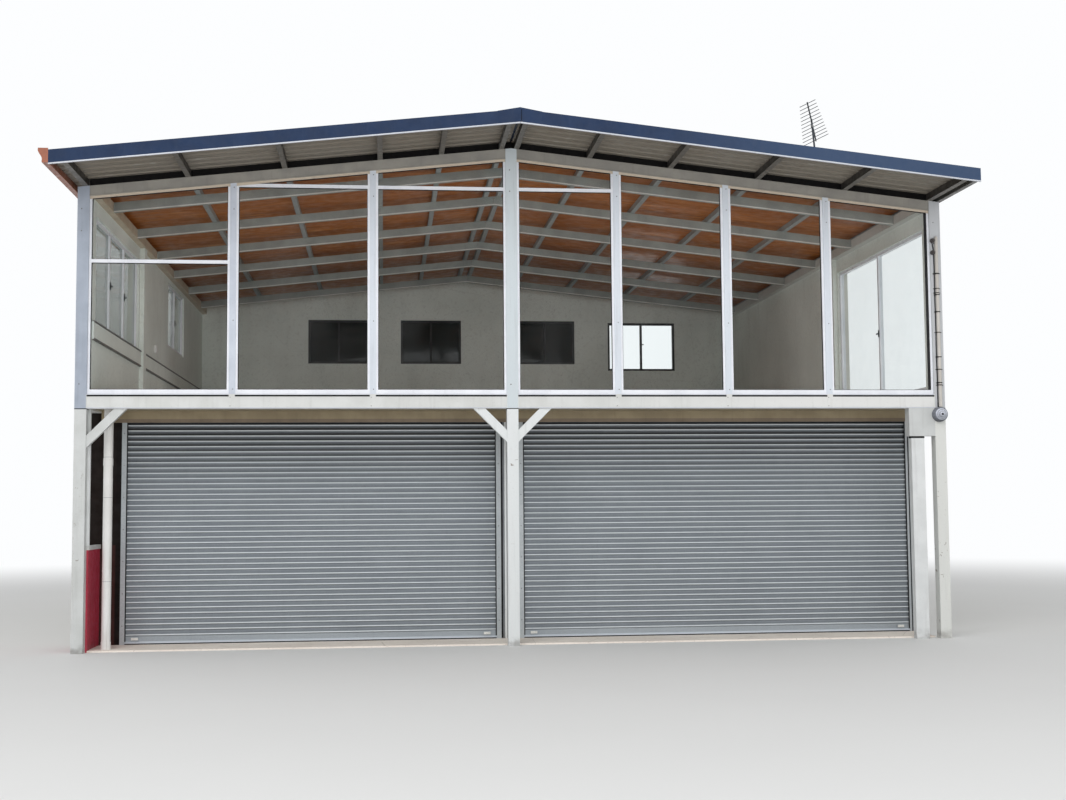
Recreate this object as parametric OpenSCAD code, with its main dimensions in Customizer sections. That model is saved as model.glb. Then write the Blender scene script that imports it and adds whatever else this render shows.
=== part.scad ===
// Two-storey corner shop: steel front with a glazed upper floor, roller shutters
// set back under a porch, and a low double-pitch metal roof.
// Millimetres. X to the right, Y into the building, Z up.
// The origin is the middle of the centre post's foot.

/* [Front frame] */
// Bay widths between post and mullion centres, from the left end of the front
bay_1_w = 1780; // [1400:5:2200]
// Second bay from the left
bay_2_w = 1695; // [1400:5:2200]
// Third bay, up to the centre post
bay_3_w = 1715; // [1400:5:2200]
// Fourth bay, right of the centre post
bay_4_w = 1325; // [1100:5:1900]
// Fifth bay
bay_5_w = 1405; // [1100:5:1900]
// Sixth bay
bay_6_w = 1300; // [1100:5:1900]
// Seventh bay, up to the right end post
bay_7_w = 1435; // [1250:5:1900]
// Side of the square steel posts
post_w = 140; // [100:5:180]
// Height of the ground storey, up to the edge beam
ground_h = 2905; // [2600:5:3300]
// Height of the edge beam
edge_beam_h = 175; // [140:5:260]
// Height of the glazed opening at the ridge
glass_h = 2960; // [2500:10:3400]
// Face width of the steel mullions
mullion_w = 74; // [50:1:100]
// Depth of the steel mullions
mullion_d = 80; // [60:1:110]

/* [Knee braces] */
// Face width of the brace bars
brace_w = 104; // [60:2:120]
// Depth of the brace bars
brace_d = 80; // [50:5:120]
// Reach of the end brace along the beam
end_brace_reach = 470; // [380:5:600]
// Reach of the two centre braces along the beam
centre_brace_reach = 415; // [350:5:550]

/* [Right corner] */
// Width of the box under the beam, beside the right end post
corner_box_w = 340; // [280:5:420]
// Height of that box
corner_box_h = 355; // [250:5:450]
// Width of the inner pillar under the box
pillar_w = 170; // [120:5:200]
// Depth of that pillar
pillar_d = 90; // [70:5:140]
// Set-in of the pillar from the box's left edge
pillar_inset = 22; // [0:1:40]

/* [Walls and floors] */
// Depth of the building, from the front of the posts to the rear face
building_d = 10750; // [9000:50:12500]
// Thickness of the walls
wall_t = 160; // [140:5:200]
// Thickness of the upper floor slab
floor_t = 120; // [100:5:145]
// Thickness of the ground slab
slab_t = 20; // [20:5:60]
// Distance of the shutters behind the front of the posts
setback = 850; // [700:10:1100]
// Thickness of the porch ceiling lining
porch_lining_t = 35; // [20:1:40]

/* [Shutters] */
// Free width from the left wall to the left shutter guide
left_nib_w = 250; // [100:5:400]
// Distance of the jamb's left edge from the centre post's axis
jamb_offset = 60; // [20:5:100]
// Width of the jamb behind the centre post
jamb_w = 206; // [150:2:300]
// Width of the recess between the left shutter's guide and the jamb
jamb_recess_w = 25; // [10:5:60]
// Height of one slat of the curtain
slat_h = 67; // [50:1:90]
// Height of the rolled nose at a slat's foot
nose_h = 22; // [16:1:30]
// How far the nose stands out
slat_bulge = 14; // [6:0.5:14]
// Thickness of the curtain's metal
slat_t = 3; // [2:0.5:4]
// Height of the bottom bar
bottom_bar_h = 102; // [84:2:160]
// Height of the lintel board above the shutters
lintel_h = 140; // [120:5:220]
// Thickness of the lintel board
lintel_t = 25; // [15:1:40]
// Face width of a guide channel
guide_w = 60; // [50:1:90]
// Depth of a guide channel
guide_d = 56; // [50:1:80]
// Wall of a guide channel
guide_t = 4; // [3:0.5:6]
// Radius of the rolled-up part of a curtain
coil_r = 150; // [110:5:160]

/* [Glazing] */
// Face width of the aluminium frame's sides and head
frame_w = 28; // [20:1:45]
// Height of the frame's bottom rail
bottom_rail_h = 56; // [50:1:110]
// Depth of the aluminium frames
frame_d = 50; // [40:1:60]
// Thickness of the glass
glass_t = 8; // [6:1:12]
// Height of a transom
transom_h = 42; // [30:1:60]
// Height of the first bay's transom above the edge beam
low_transom_z = 1595; // [1200:10:1900]
// Height of the three middle bays' transoms above the edge beam
high_transom_z = 2550; // [2300:5:2560]

/* [Roof] */
// Pitch of both slopes, in degrees
roof_pitch = 6.2; // [4:0.1:7]
// Overhang in front of the posts
front_overhang = 1226; // [900:2:1500]
// Overhang behind the rear wall
rear_overhang = 300; // [150:10:600]
// Overhang beyond the left wall
left_overhang = 72; // [50:1:120]
// Overhang beyond the right wall
right_overhang = 30; // [20:1:120]
// Height of the sloping head beams and the rafters
head_beam_h = 125; // [100:5:160]
// Depth of the sloping head beams
head_beam_d = 100; // [80:5:120]
// Height of the purlins
purlin_h = 85; // [60:1:110]
// Width of the purlins
purlin_w = 62; // [50:1:80]
// Wall of the purlin and rafter channels
channel_t = 5; // [3:0.5:8]
// Width of the rafter flanges
rafter_w = 60; // [50:1:90]
// Distance of the first rafter behind the front of the posts
first_rafter = 1000; // [400:50:1400]
// Distance between the rafters
rafter_step = 1750; // [1400:50:1850]
// Width of the beams that carry the rafters along the side walls
eave_beam_w = 80; // [60:5:120]
// Number of rafters
rafter_count = 6; // [3:1:6]
// Thickness of the ceiling boards
board_t = 12; // [9:1:18]
// Distance between the ribs of the roof sheets
rib_pitch = 200; // [150:5:250]
// Height of the ribs
rib_h = 28; // [20:1:40]
// Thickness of the roof sheets
sheet_t = 4; // [3:0.5:6]
// Height of the fascia
fascia_h = 152; // [135:1:200]
// Thickness of the fascia
fascia_t = 18; // [12:1:30]
// Height of the trim strip under the fascia
trim_h = 14; // [8:1:25]
// Width of the ridge cap on each slope
ridge_cap_w = 260; // [150:5:350]

/* [Gutters and downpipe] */
// Width of the eave gutters
gutter_w = 112; // [90:1:140]
// Height of the eave gutters
gutter_h = 165; // [130:1:180]
// Thickness of the gutter metal
gutter_t = 4; // [3:0.5:5]
// Outer diameter of the downpipe
pipe_d = 110; // [80:2:120]
// Distance of the downpipe from the left post
pipe_gap = 155; // [150:5:280]
// Distance of the downpipe behind the front of the posts
pipe_setback = 300; // [220:5:400]

/* [Side screen] */
// Height of the low side screen, with its cap
screen_h = 1265; // [1000:5:1400]
// Thickness of the screen
screen_t = 40; // [30:1:60]
// Height of the screen's cap
cap_h = 50; // [30:1:80]
// Width of the screen's cap
cap_w = 64; // [50:1:80]

/* [Windows] */
// Width of the left wall's front window
left_window_w = 3080; // [2400:20:3400]
// Height of the left wall's front window
left_window_h = 1310; // [1000:10:1400]
// Sill of the left wall's front window above the upper floor
left_window_sill = 910; // [850:10:1050]
// Width of the left wall's rear window
left_rear_window_w = 1850; // [1400:10:2200]
// Height of the left wall's rear window
left_rear_window_h = 1050; // [700:10:1100]
// Sill of the left wall's rear window above the upper floor
left_rear_window_sill = 1290; // [1200:10:1300]
// Width of the right wall's window
right_window_w = 3460; // [2400:20:3600]
// Height of the right wall's window
right_window_h = 2090; // [1600:10:2150]
// Width of the three smaller rear windows
rear_window_w = 1190; // [900:10:1300]
// Height of the three smaller rear windows
rear_window_h = 865; // [700:5:900]
// Sill of the three smaller rear windows above the upper floor
rear_window_sill = 1450; // [1300:10:1500]
// Width of the wider rear window
wide_window_w = 1360; // [1000:10:1450]
// Height of the wider rear window
wide_window_h = 965; // [700:5:1000]
// Sill of the wider rear window above the upper floor
wide_window_sill = 1320; // [1200:10:1400]
// Face width of the side and rear window frames
sash_w = 42; // [30:1:60]
// Depth of the side and rear window frames
sash_d = 60; // [40:1:80]

/* [Fittings] */
// Diameter of the service conduit
conduit_d = 44; // [25:1:50]
// Diameter of the round meter
meter_d = 188; // [120:2:200]
// Diameter of the spool insulators
spool_d = 56; // [40:2:56]
// Length of the antenna mast above the roof
mast_h = 1400; // [1000:50:2000]
// Distance of the mast from the right end post
mast_in = 845; // [500:5:2000]

/* [Hidden] */
$fn = 48;

// Post and mullion centres along the front
left_post_x = -(bay_1_w + bay_2_w + bay_3_w);
right_post_x = bay_4_w + bay_5_w + bay_6_w + bay_7_w;
left_mullions_x = [left_post_x + bay_1_w, left_post_x + bay_1_w + bay_2_w];
right_mullions_x = [bay_4_w, bay_4_w + bay_5_w, bay_4_w + bay_5_w + bay_6_w];
mullions_x = concat(left_mullions_x, right_mullions_x);
posts_x = [left_post_x, 0, right_post_x];

// Faces of the frame and the walls
half_post = post_w / 2;
front_y = -half_post;
rear_y = front_y + building_d;
rear_in_y = rear_y - wall_t;
left_x = left_post_x - half_post;
left_in_x = left_x + wall_t;
right_x = right_post_x + half_post;
right_in_x = right_x - wall_t;

// Levels
beam_z = ground_h;
floor_z = ground_h + edge_beam_h;
floor_under_z = floor_z - floor_t;
lining_z = floor_under_z - porch_lining_t;
slope = tan(roof_pitch);
ridge_under_z = floor_z + glass_h;
ridge_head_z = ridge_under_z + head_beam_h;
ridge_soffit_z = ridge_head_z + purlin_h;

// Roof edges
roof_front_y = front_y - front_overhang;
roof_rear_y = rear_y + rear_overhang;
roof_left_x = left_x - left_overhang;
roof_right_x = right_x + right_overhang;

// Height of a sloping line at x, above or below the tops of the purlins
function roof_z(x, off) = ridge_soffit_z - slope * abs(x) + off;
head_top = -purlin_h;
head_under = -purlin_h - head_beam_h;

// A prism whose outline lies in the XZ plane, from y0 to y1
module xz_prism(points, y0, y1) {
    translate([0, y1, 0])
        rotate([90, 0, 0])
            linear_extrude(y1 - y0)
                polygon(points);
}

// A bar that follows the roof slope between x0 and x1, both on one side of the ridge
module slope_bar(x0, x1, low, high, y0, y1) {
    xz_prism([
        [x0, roof_z(x0, low)], [x1, roof_z(x1, low)],
        [x1, roof_z(x1, high)], [x0, roof_z(x0, high)]], y0, y1);
}

// The same on each slope, as two bars that leave a joint of width gap at the ridge
module slope_pair(x0, x1, low, high, y0, y1, gap) {
    slope_bar(x0, -gap / 2, low, high, y0, y1);
    slope_bar(gap / 2, x1, low, high, y0, y1);
}

// A bar over both slopes, bent at the ridge
module ridge_bar(x0, x1, low, high, y0, y1) {
    xz_prism([
        [x0, roof_z(x0, low)], [0, roof_z(0, low)], [x1, roof_z(x1, low)],
        [x1, roof_z(x1, high)], [0, roof_z(0, high)], [x0, roof_z(x0, high)]], y0, y1);
}

// A box given by its two corners
module block(low, high) {
    translate(low)
        cube(high - low);
}

// Frame posts

module lower_posts() {
    color("gainsboro")
        for (x = posts_x)
            block([x - half_post, front_y, 0], [x + half_post, half_post, beam_z]);
}

module upper_posts() {
    color("lightsteelblue") {
        for (x = [left_post_x, right_post_x])
            xz_prism([
                [x - half_post, beam_z], [x + half_post, beam_z],
                [x + half_post, roof_z(x + half_post, head_top)],
                [x - half_post, roof_z(x - half_post, head_top)]], front_y, half_post);
        xz_prism([
            [-half_post, beam_z], [half_post, beam_z],
            [half_post, roof_z(half_post, head_top)], [0, roof_z(0, head_top)],
            [-half_post, roof_z(half_post, head_top)]], front_y, half_post);
    }
}

// Right corner: inner pillar and the box on top of it
corner_box_x = right_post_x - half_post - corner_box_w;
corner_box_z = beam_z - corner_box_h;

module corner_pier() {
    color("gainsboro") {
        block([corner_box_x + pillar_inset, front_y, 0],
            [corner_box_x + pillar_inset + pillar_w, front_y + pillar_d, corner_box_z]);
        block([corner_box_x, front_y, corner_box_z],
            [corner_box_x + corner_box_w, half_post, beam_z]);
    }
}

// Knee braces: mitred flat bars at 45 degrees, side is +1 or -1
brace_set = 15;

module knee_brace(x, reach, side) {
    run = brace_w * sqrt(2);
    xz_prism([
        [x, beam_z - reach], [x + side * reach, beam_z],
        [x + side * (reach - run), beam_z], [x, beam_z - reach + run]],
        front_y + brace_set, front_y + brace_set + brace_d);
}

module knee_braces() {
    color("gainsboro") {
        knee_brace(left_post_x + half_post, end_brace_reach, 1);
        knee_brace(-half_post, centre_brace_reach, -1);
        knee_brace(half_post, centre_brace_reach, 1);
    }
}

// Edge beams with a joint under each mullion, and the short ones over the porch sides
joint_w = 4;
joint_d = 4;

module edge_beams() {
    color("gainsboro") {
        difference() {
            union() {
                block([left_post_x + half_post, front_y, beam_z], [-half_post, half_post, floor_z]);
                block([half_post, front_y, beam_z], [right_post_x - half_post, half_post, floor_z]);
            }
            for (x = mullions_x)
                block([x - joint_w / 2, front_y - joint_d, beam_z - joint_d],
                    [x + joint_w / 2, front_y + joint_d, floor_z + joint_d]);
        }
        block([left_x, half_post, beam_z], [left_in_x, wall_front_y, floor_z]);
        block([right_in_x, half_post, beam_z], [right_x, wall_front_y, floor_z]);
    }
}

// Floors
module ground_slab() {
    color("darkgray")
        block([left_in_x, half_post, 0], [right_in_x, rear_in_y, slab_t]);
}

module upper_floor() {
    color("silver")
        block([left_in_x, half_post, floor_under_z], [right_in_x, rear_in_y, floor_z]);
}

module porch_ceiling() {
    color("tan")
        block([left_in_x, half_post, lining_z], [right_in_x, wall_front_y, floor_under_z]);
}

// Shutters
guide_y = front_y + setback;
wall_front_y = guide_y;
curtain_y = guide_y + guide_d / 2;
lintel_z = lining_z - lintel_h;
left_guide_x = left_in_x + left_nib_w;
jamb_x = -jamb_offset;
jamb_right_x = jamb_x + jamb_w;
recess_x = jamb_x - jamb_recess_w;
recess_d = 30;
coil_y = guide_y + guide_d + coil_r;
coil_z = floor_under_z - coil_r - 20;
slat_clear = 6;
lock_in = 130;
lock_w = 90;
lock_h = 36;
lock_d = 14;

module shutter_lintel() {
    color("tan")
        block([left_in_x, guide_y - lintel_t, lintel_z], [right_in_x, guide_y, lining_z]);
}

// One slat's outer line in the YZ plane, from its foot up: a slanting underside, a rolled nose,
// a web that curves back to the plane of the hinges, and a tucked-in hinge lip
nose_steps = 5;
web_steps = 4;
under_h = 4;
lip_h = 6;
lip_d = 3;
web_bend = 1.4;
nose_line = [for (i = [0 : nose_steps])
    let (t = i / nose_steps)
        [-slat_bulge * (0.5 + 0.5 * sin(150 * t)), under_h + (nose_h - under_h) * t]];
web_from = nose_line[nose_steps];
function slat_line(z) = concat(
    [[lip_d, z]],
    [for (q = nose_line) [q[0], z + q[1]]],
    [for (i = [1 : web_steps])
        let (t = i / web_steps)
            [web_from[0] * pow(1 - t, web_bend), z + web_from[1] + (slat_h - lip_h - web_from[1]) * t]],
    [[lip_d, z + slat_h - lip_h * 0.6]]);

// A whole curtain in one outline: slats above a bottom bar with a foot, extruded along X
foot_h = 34;
foot_d = 8;
bar_in = 6;
module curtain(x0, x1) {
    slat_count = ceil((coil_z - slab_t - bottom_bar_h) / slat_h);
    bar_z = slab_t + bottom_bar_h;
    top_z = bar_z + slat_count * slat_h;
    front = [for (i = [0 : slat_count - 1]) each slat_line(bar_z + i * slat_h)];
    back = [for (i = [len(front) - 1 : -1 : 0]) front[i] + [slat_t, 0]];
    bar = [
        [slat_bulge, bar_z], [slat_bulge, slab_t], [-slat_bulge - foot_d, slab_t],
        [-slat_bulge - foot_d, slab_t + foot_h - foot_d], [-bar_in, slab_t + foot_h], [-bar_in, bar_z - 1]];
    translate([x0, curtain_y, 0])
        rotate([90, 0, 90])
            linear_extrude(x1 - x0)
                polygon(concat(front, [[0, top_z], [slat_t, top_z]], back, bar));
    for (x = [x0 + lock_in, x1 - lock_in - lock_w])
        translate([x, curtain_y - slat_bulge - lock_d, slab_t + bottom_bar_h / 2])
            cube([lock_w, lock_d + slat_bulge, lock_h]);
}

module left_shutter() {
    color("slategray")
        curtain(left_guide_x + guide_t + slat_clear, recess_x - guide_t - slat_clear);
}

module right_shutter() {
    color("slategray")
        curtain(jamb_right_x + guide_t + slat_clear, right_in_x - guide_t - slat_clear);
}

// A U-shaped guide channel open towards side, from the slab to the upper floor
module guide(x, side) {
    low = min(x, x + side * guide_w);
    difference() {
        block([low, guide_y, slab_t], [low + guide_w, guide_y + guide_d, floor_under_z]);
        translate([side > 0 ? guide_t : -guide_t, 0, 0])
            block([low, guide_y + guide_t, slab_t - 1],
                [low + guide_w, guide_y + guide_d - guide_t, floor_under_z + 1]);
    }
}

module shutter_guides() {
    color("darkgray") {
        guide(left_guide_x, 1);
        guide(recess_x, -1);
        guide(jamb_right_x, 1);
        guide(right_in_x, -1);
    }
}

module centre_jamb() {
    color("gray") {
        block([jamb_x, guide_y, slab_t], [jamb_right_x, guide_y + guide_d, floor_under_z]);
        block([recess_x, guide_y + recess_d, slab_t], [jamb_x, guide_y + guide_d, floor_under_z]);
    }
}

// Rolled curtains on their shafts, in brackets under the floor
bracket_t = 10;

module coil(x0, x1) {
    translate([x0 + bracket_t, coil_y, coil_z])
        rotate([0, 90, 0])
            cylinder(r = coil_r, h = x1 - x0 - 2 * bracket_t);
    for (x = [x0, x1 - bracket_t])
        block([x, coil_y - coil_r, coil_z - coil_r], [x + bracket_t, coil_y + coil_r, floor_under_z]);
}

module shutter_coils() {
    color("dimgray") {
        coil(left_guide_x, recess_x);
        coil(jamb_right_x, right_in_x);
    }
}

// Ground walls
module left_ground_wall() {
    color("dimgray") {
        block([left_x, wall_front_y, 0], [left_in_x, rear_y, floor_z]);
        block([left_in_x, wall_front_y, slab_t], [left_guide_x, wall_front_y + wall_t, floor_under_z]);
    }
}

module right_ground_wall() {
    color("lightgray")
        block([right_in_x, wall_front_y, 0], [right_x, rear_y, floor_z]);
}

module rear_ground_wall() {
    color("lightgray")
        block([left_in_x, rear_in_y, 0], [right_in_x, rear_y, floor_z]);
}

// Low screen between the left end post and the shutters
module side_screen() {
    color("maroon")
        block([left_in_x - screen_t, half_post, 0], [left_in_x, wall_front_y, screen_h - cap_h]);
}

module screen_cap() {
    cap_x = left_in_x - screen_t / 2;
    color("white")
        block([cap_x - cap_w / 2, half_post, screen_h - cap_h], [cap_x + cap_w / 2, wall_front_y, screen_h]);
}

// Downpipe from the porch ceiling to the slab, with its socket joints
pipe_x = left_post_x + half_post + pipe_gap + pipe_d / 2;
pipe_y = front_y + pipe_setback;
socket_t = 4;
socket_h = 90;

module downpipe() {
    color("white")
        translate([pipe_x, pipe_y, slab_t]) {
            cylinder(d = pipe_d, h = lining_z - slab_t);
            for (z = [0, (lining_z - slab_t) * 0.76])
                translate([0, 0, z])
                    cylinder(d = pipe_d + 2 * socket_t, h = socket_h);
        }
}

// Upper front: mullions, head beams, frames and glass
mullion_y = front_y + 10;
head_y = front_y + 12;
head_lip_h = 9;

module mullions() {
    color("silver")
        for (x = mullions_x) {
            x0 = x - mullion_w / 2;
            x1 = x + mullion_w / 2;
            xz_prism([
                [x0, floor_z], [x1, floor_z],
                [x1, roof_z(x1, head_under)], [x0, roof_z(x0, head_under)]],
                mullion_y, mullion_y + mullion_d);
        }
}

module head_beams() {
    color("gray")
        for (x = [[left_post_x + half_post, -half_post], [half_post, right_post_x - half_post]]) {
            slope_bar(x[0], x[1], head_under, head_top, head_y, head_y + head_beam_d);
            slope_bar(x[0], x[1], head_under, head_under + head_lip_h, front_y, head_y + 1);
            slope_bar(x[0], x[1], head_top - head_lip_h, head_top, front_y, head_y + 1);
        }
}

// Bays as [left edge, right edge, heights of the transoms above the beam]
function bay(x0, w0, x1, w1, t) = [x0 + w0 / 2, x1 - w1 / 2, t];
bays = [
    bay(left_post_x, post_w, mullions_x[0], mullion_w, [low_transom_z]),
    bay(mullions_x[0], mullion_w, mullions_x[1], mullion_w, [high_transom_z]),
    bay(mullions_x[1], mullion_w, 0, post_w, [high_transom_z]),
    bay(0, post_w, mullions_x[2], mullion_w, [high_transom_z]),
    bay(mullions_x[2], mullion_w, mullions_x[3], mullion_w, []),
    bay(mullions_x[3], mullion_w, mullions_x[4], mullion_w, []),
    bay(mullions_x[4], mullion_w, right_post_x, post_w, [])];
frame_y = mullion_y + 15;
glass_y = frame_y + (frame_d - glass_t) / 2;

// Outline of a bay's opening, drawn in by e at the sides and head and by b at the foot
function bay_outline(b, e, foot) = [
    [b[0] + e, floor_z + foot], [b[1] - e, floor_z + foot],
    [b[1] - e, roof_z(b[1] - e, head_under) - e], [b[0] + e, roof_z(b[0] + e, head_under) - e]];

module bay_frame(b) {
    difference() {
        xz_prism(bay_outline(b, 0, 0), frame_y, frame_y + frame_d);
        difference() {
            xz_prism(bay_outline(b, frame_w, bottom_rail_h), frame_y - 1, frame_y + frame_d + 1);
            for (t = b[2])
                block([b[0], frame_y - 2, floor_z + t], [b[1], frame_y + frame_d + 2, floor_z + t + transom_h]);
        }
    }
}

module glazing_frames() {
    color("white")
        for (b = bays)
            bay_frame(b);
}

module front_glass() {
    color("lightblue", 0.4)
        for (b = bays)
            difference() {
                xz_prism(bay_outline(b, frame_w, bottom_rail_h), glass_y, glass_y + glass_t);
                for (t = b[2])
                    block([b[0], glass_y - 1, floor_z + t],
                        [b[1], glass_y + glass_t + 1, floor_z + t + transom_h]);
            }
}

// Upper walls with their windows cut through; a flat band runs along the left one under its sills
left_window_in = 190;
left_window_y = half_post + left_window_in;
left_windows_gap = 2775;
left_rear_window_y = left_window_y + left_window_w + left_windows_gap;
right_window_y = half_post + 70;
right_window_sill = 76;
left_pier_y = left_window_y + left_window_w + 90;
right_pier_y = right_window_y + right_window_w + 40;
pier_w = 220;
pier_d = 60;
band_top = left_window_sill - 12;
band_h = 215;
band_d = 25;
rear_windows_x = [-2462, -652, 1620];
wide_window_x = 3570;
wide_window_z = floor_z + wide_window_sill;

// Flat pier on the inside of a side wall, behind its front window, up to the eave beam
module wall_pier(x, side, y) {
    x0 = min(x, x + side * pier_d);
    x1 = max(x, x + side * pier_d);
    xz_prism([
        [x0, floor_z], [x1, floor_z], [x1, roof_z(x1, head_under)], [x0, roof_z(x0, head_under)]],
        y, y + pier_w);
}

module left_upper_wall() {
    color("whitesmoke") {
        wall_pier(left_in_x, 1, left_pier_y);
        block([left_in_x, half_post, floor_z + band_top - band_h],
            [left_in_x + band_d, rear_in_y, floor_z + band_top]);
        difference() {
            xz_prism([
                [left_x, floor_z], [left_in_x, floor_z],
                [left_in_x, roof_z(left_in_x, head_top)], [left_x, roof_z(left_x, head_top)]],
                half_post, rear_y);
            block([left_x - 1, left_window_y, floor_z + left_window_sill],
                [left_in_x + 1, left_window_y + left_window_w, floor_z + left_window_sill + left_window_h]);
            block([left_x - 1, left_rear_window_y, floor_z + left_rear_window_sill],
                [left_in_x + 1, left_rear_window_y + left_rear_window_w,
                    floor_z + left_rear_window_sill + left_rear_window_h]);
        }
    }
}

module right_upper_wall() {
    color("whitesmoke") {
        wall_pier(right_in_x, -1, right_pier_y);
        difference() {
            xz_prism([
                [right_in_x, floor_z], [right_x, floor_z],
                [right_x, roof_z(right_x, head_top)], [right_in_x, roof_z(right_in_x, head_top)]],
                half_post, rear_y);
            block([right_in_x - 1, right_window_y, floor_z + right_window_sill],
                [right_x + 1, right_window_y + right_window_w, floor_z + right_window_sill + right_window_h]);
        }
    }
}

module rear_upper_wall() {
    color("whitesmoke")
        difference() {
            xz_prism([
                [left_in_x, floor_z], [right_in_x, floor_z], [right_in_x, roof_z(right_in_x, head_top)],
                [0, roof_z(0, head_top)], [left_in_x, roof_z(left_in_x, head_top)]],
                rear_in_y, rear_y);
            for (x = rear_windows_x)
                block([x - rear_window_w / 2, rear_in_y - 1, floor_z + rear_window_sill],
                    [x + rear_window_w / 2, rear_y + 1, floor_z + rear_window_sill + rear_window_h]);
            block([wide_window_x - wide_window_w / 2, rear_in_y - 1, wide_window_z],
                [wide_window_x + wide_window_w / 2, rear_y + 1, wide_window_z + wide_window_h]);
        }
}

// Window frames: an outer frame and its upright bars, as a flat panel in XY
module window_frame(w, h, bars) {
    linear_extrude(sash_d)
        difference() {
            square([w, h]);
            for (i = [0 : len(bars)])
                let (
                    a = i == 0 ? sash_w : bars[i - 1] + sash_w / 2,
                    b = i == len(bars) ? w - sash_w : bars[i] - sash_w / 2)
                    translate([a, sash_w])
                        square([b - a, h - 2 * sash_w]);
        }
}

module window_panes(w, h, bars) {
    translate([0, 0, (sash_d - glass_t) / 2])
        linear_extrude(glass_t)
            for (i = [0 : len(bars)])
                let (
                    a = i == 0 ? sash_w : bars[i - 1] + sash_w / 2,
                    b = i == len(bars) ? w - sash_w : bars[i] - sash_w / 2)
                    translate([a, sash_w])
                        square([b - a, h - 2 * sash_w]);
}

// Places a flat panel upright in a wall that runs along Y, or along X
module on_side(x, y, z) {
    translate([x, y, z])
        rotate([90, 0, 90])
            children();
}

module on_rear(x, y, z) {
    translate([x, y, z])
        rotate([90, 0, 0])
            children();
}

left_bars = [left_window_w * 0.345, left_window_w * 0.67];
left_rear_bars = [left_rear_window_w / 2];
right_bars = [right_window_w * 0.51];
side_frame_x = left_in_x - 90;
right_frame_x = right_in_x + 30;
rear_frame_y = rear_in_y + 90;

module side_window_frames() {
    color("white") {
        on_side(side_frame_x, left_window_y, floor_z + left_window_sill)
            window_frame(left_window_w, left_window_h, left_bars);
        on_side(side_frame_x, left_rear_window_y, floor_z + left_rear_window_sill)
            window_frame(left_rear_window_w, left_rear_window_h, left_rear_bars);
        on_side(right_frame_x, right_window_y, floor_z + right_window_sill)
            window_frame(right_window_w, right_window_h, right_bars);
    }
}

module rear_window_frames() {
    color("dimgray") {
        for (x = rear_windows_x)
            on_rear(x - rear_window_w / 2, rear_frame_y, floor_z + rear_window_sill)
                window_frame(rear_window_w, rear_window_h, [rear_window_w / 2]);
        on_rear(wide_window_x - wide_window_w / 2, rear_frame_y, wide_window_z)
            window_frame(wide_window_w, wide_window_h, [wide_window_w / 2]);
    }
}

module window_glass() {
    color("lightblue", 0.4) {
        on_side(side_frame_x, left_window_y, floor_z + left_window_sill)
            window_panes(left_window_w, left_window_h, left_bars);
        on_side(side_frame_x, left_rear_window_y, floor_z + left_rear_window_sill)
            window_panes(left_rear_window_w, left_rear_window_h, left_rear_bars);
        on_side(right_frame_x, right_window_y, floor_z + right_window_sill)
            window_panes(right_window_w, right_window_h, right_bars);
        for (x = rear_windows_x)
            on_rear(x - rear_window_w / 2, rear_frame_y, floor_z + rear_window_sill)
                window_panes(rear_window_w, rear_window_h, [rear_window_w / 2]);
        on_rear(wide_window_x - wide_window_w / 2, rear_frame_y, wide_window_z)
            window_panes(wide_window_w, wide_window_h, [wide_window_w / 2]);
    }
}

// Roof frame
module eave_beams() {
    color("dimgray")
        for (x = [[left_in_x, left_in_x + eave_beam_w], [right_in_x - eave_beam_w, right_in_x]])
            slope_bar(x[0], x[1], head_under, head_top, half_post, rear_in_y);
}

module rafters() {
    color("silver")
        for (i = [0 : rafter_count - 1]) {
            y = front_y + first_rafter + i * rafter_step;
            x0 = left_in_x + eave_beam_w;
            x1 = right_in_x - eave_beam_w;
            slope_pair(x0, x1, head_under, head_top, y, y + channel_t, joint_w);
            slope_pair(x0, x1, head_under, head_under + channel_t, y, y + rafter_w, joint_w);
            slope_pair(x0, x1, head_top - channel_t, head_top, y, y + rafter_w, joint_w);
        }
}

// Purlin centres as shares of the distance from the ridge to the outermost one
ridge_purlins_x = [-120, 70];
left_purlin_in = 25;
right_purlin_in = 65;
left_edge_purlin_x = left_post_x + left_purlin_in;
right_edge_purlin_x = right_post_x - right_purlin_in;
left_purlins = [0.168, 0.315, 0.54, 0.765];
right_purlins = [0.183, 0.374, 0.583, 0.793];
purlins_x = concat(
    [left_edge_purlin_x], [for (i = [len(left_purlins) - 1 : -1 : 0]) left_purlins[i] * left_edge_purlin_x],
    ridge_purlins_x,
    [for (s = right_purlins) s * right_edge_purlin_x], [right_edge_purlin_x]);

// C-shaped purlin with its web towards the ridge
module purlin(x) {
    s = x < 0 ? -1 : 1;
    a = x - s * purlin_w / 2;
    b = x + s * purlin_w / 2;
    w = a + s * channel_t;
    y0 = roof_front_y + fascia_t;
    y1 = roof_rear_y - fascia_t;
    xz_prism([
        [a, roof_z(a, 0)], [b, roof_z(b, 0)], [b, roof_z(b, -channel_t)], [w, roof_z(w, -channel_t)],
        [w, roof_z(w, head_top + channel_t)], [b, roof_z(b, head_top + channel_t)],
        [b, roof_z(b, head_top)], [a, roof_z(a, head_top)]], y0, y1);
}

module purlins() {
    color("dimgray")
        for (x = purlins_x)
            purlin(x);
}

// Boards between the purlins, under the sheets
module ceiling_boards() {
    color("peru")
        for (i = [0 : len(purlins_x) - 2]) {
            x0 = purlins_x[i] + purlin_w / 2;
            x1 = purlins_x[i + 1] - purlin_w / 2;
            if (x0 * x1 > 0)
                slope_bar(x0, x1, -board_t, 0, half_post, rear_in_y);
            else
                ridge_bar(x0, x1, -board_t, 0, half_post, rear_in_y);
        }
}

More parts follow.
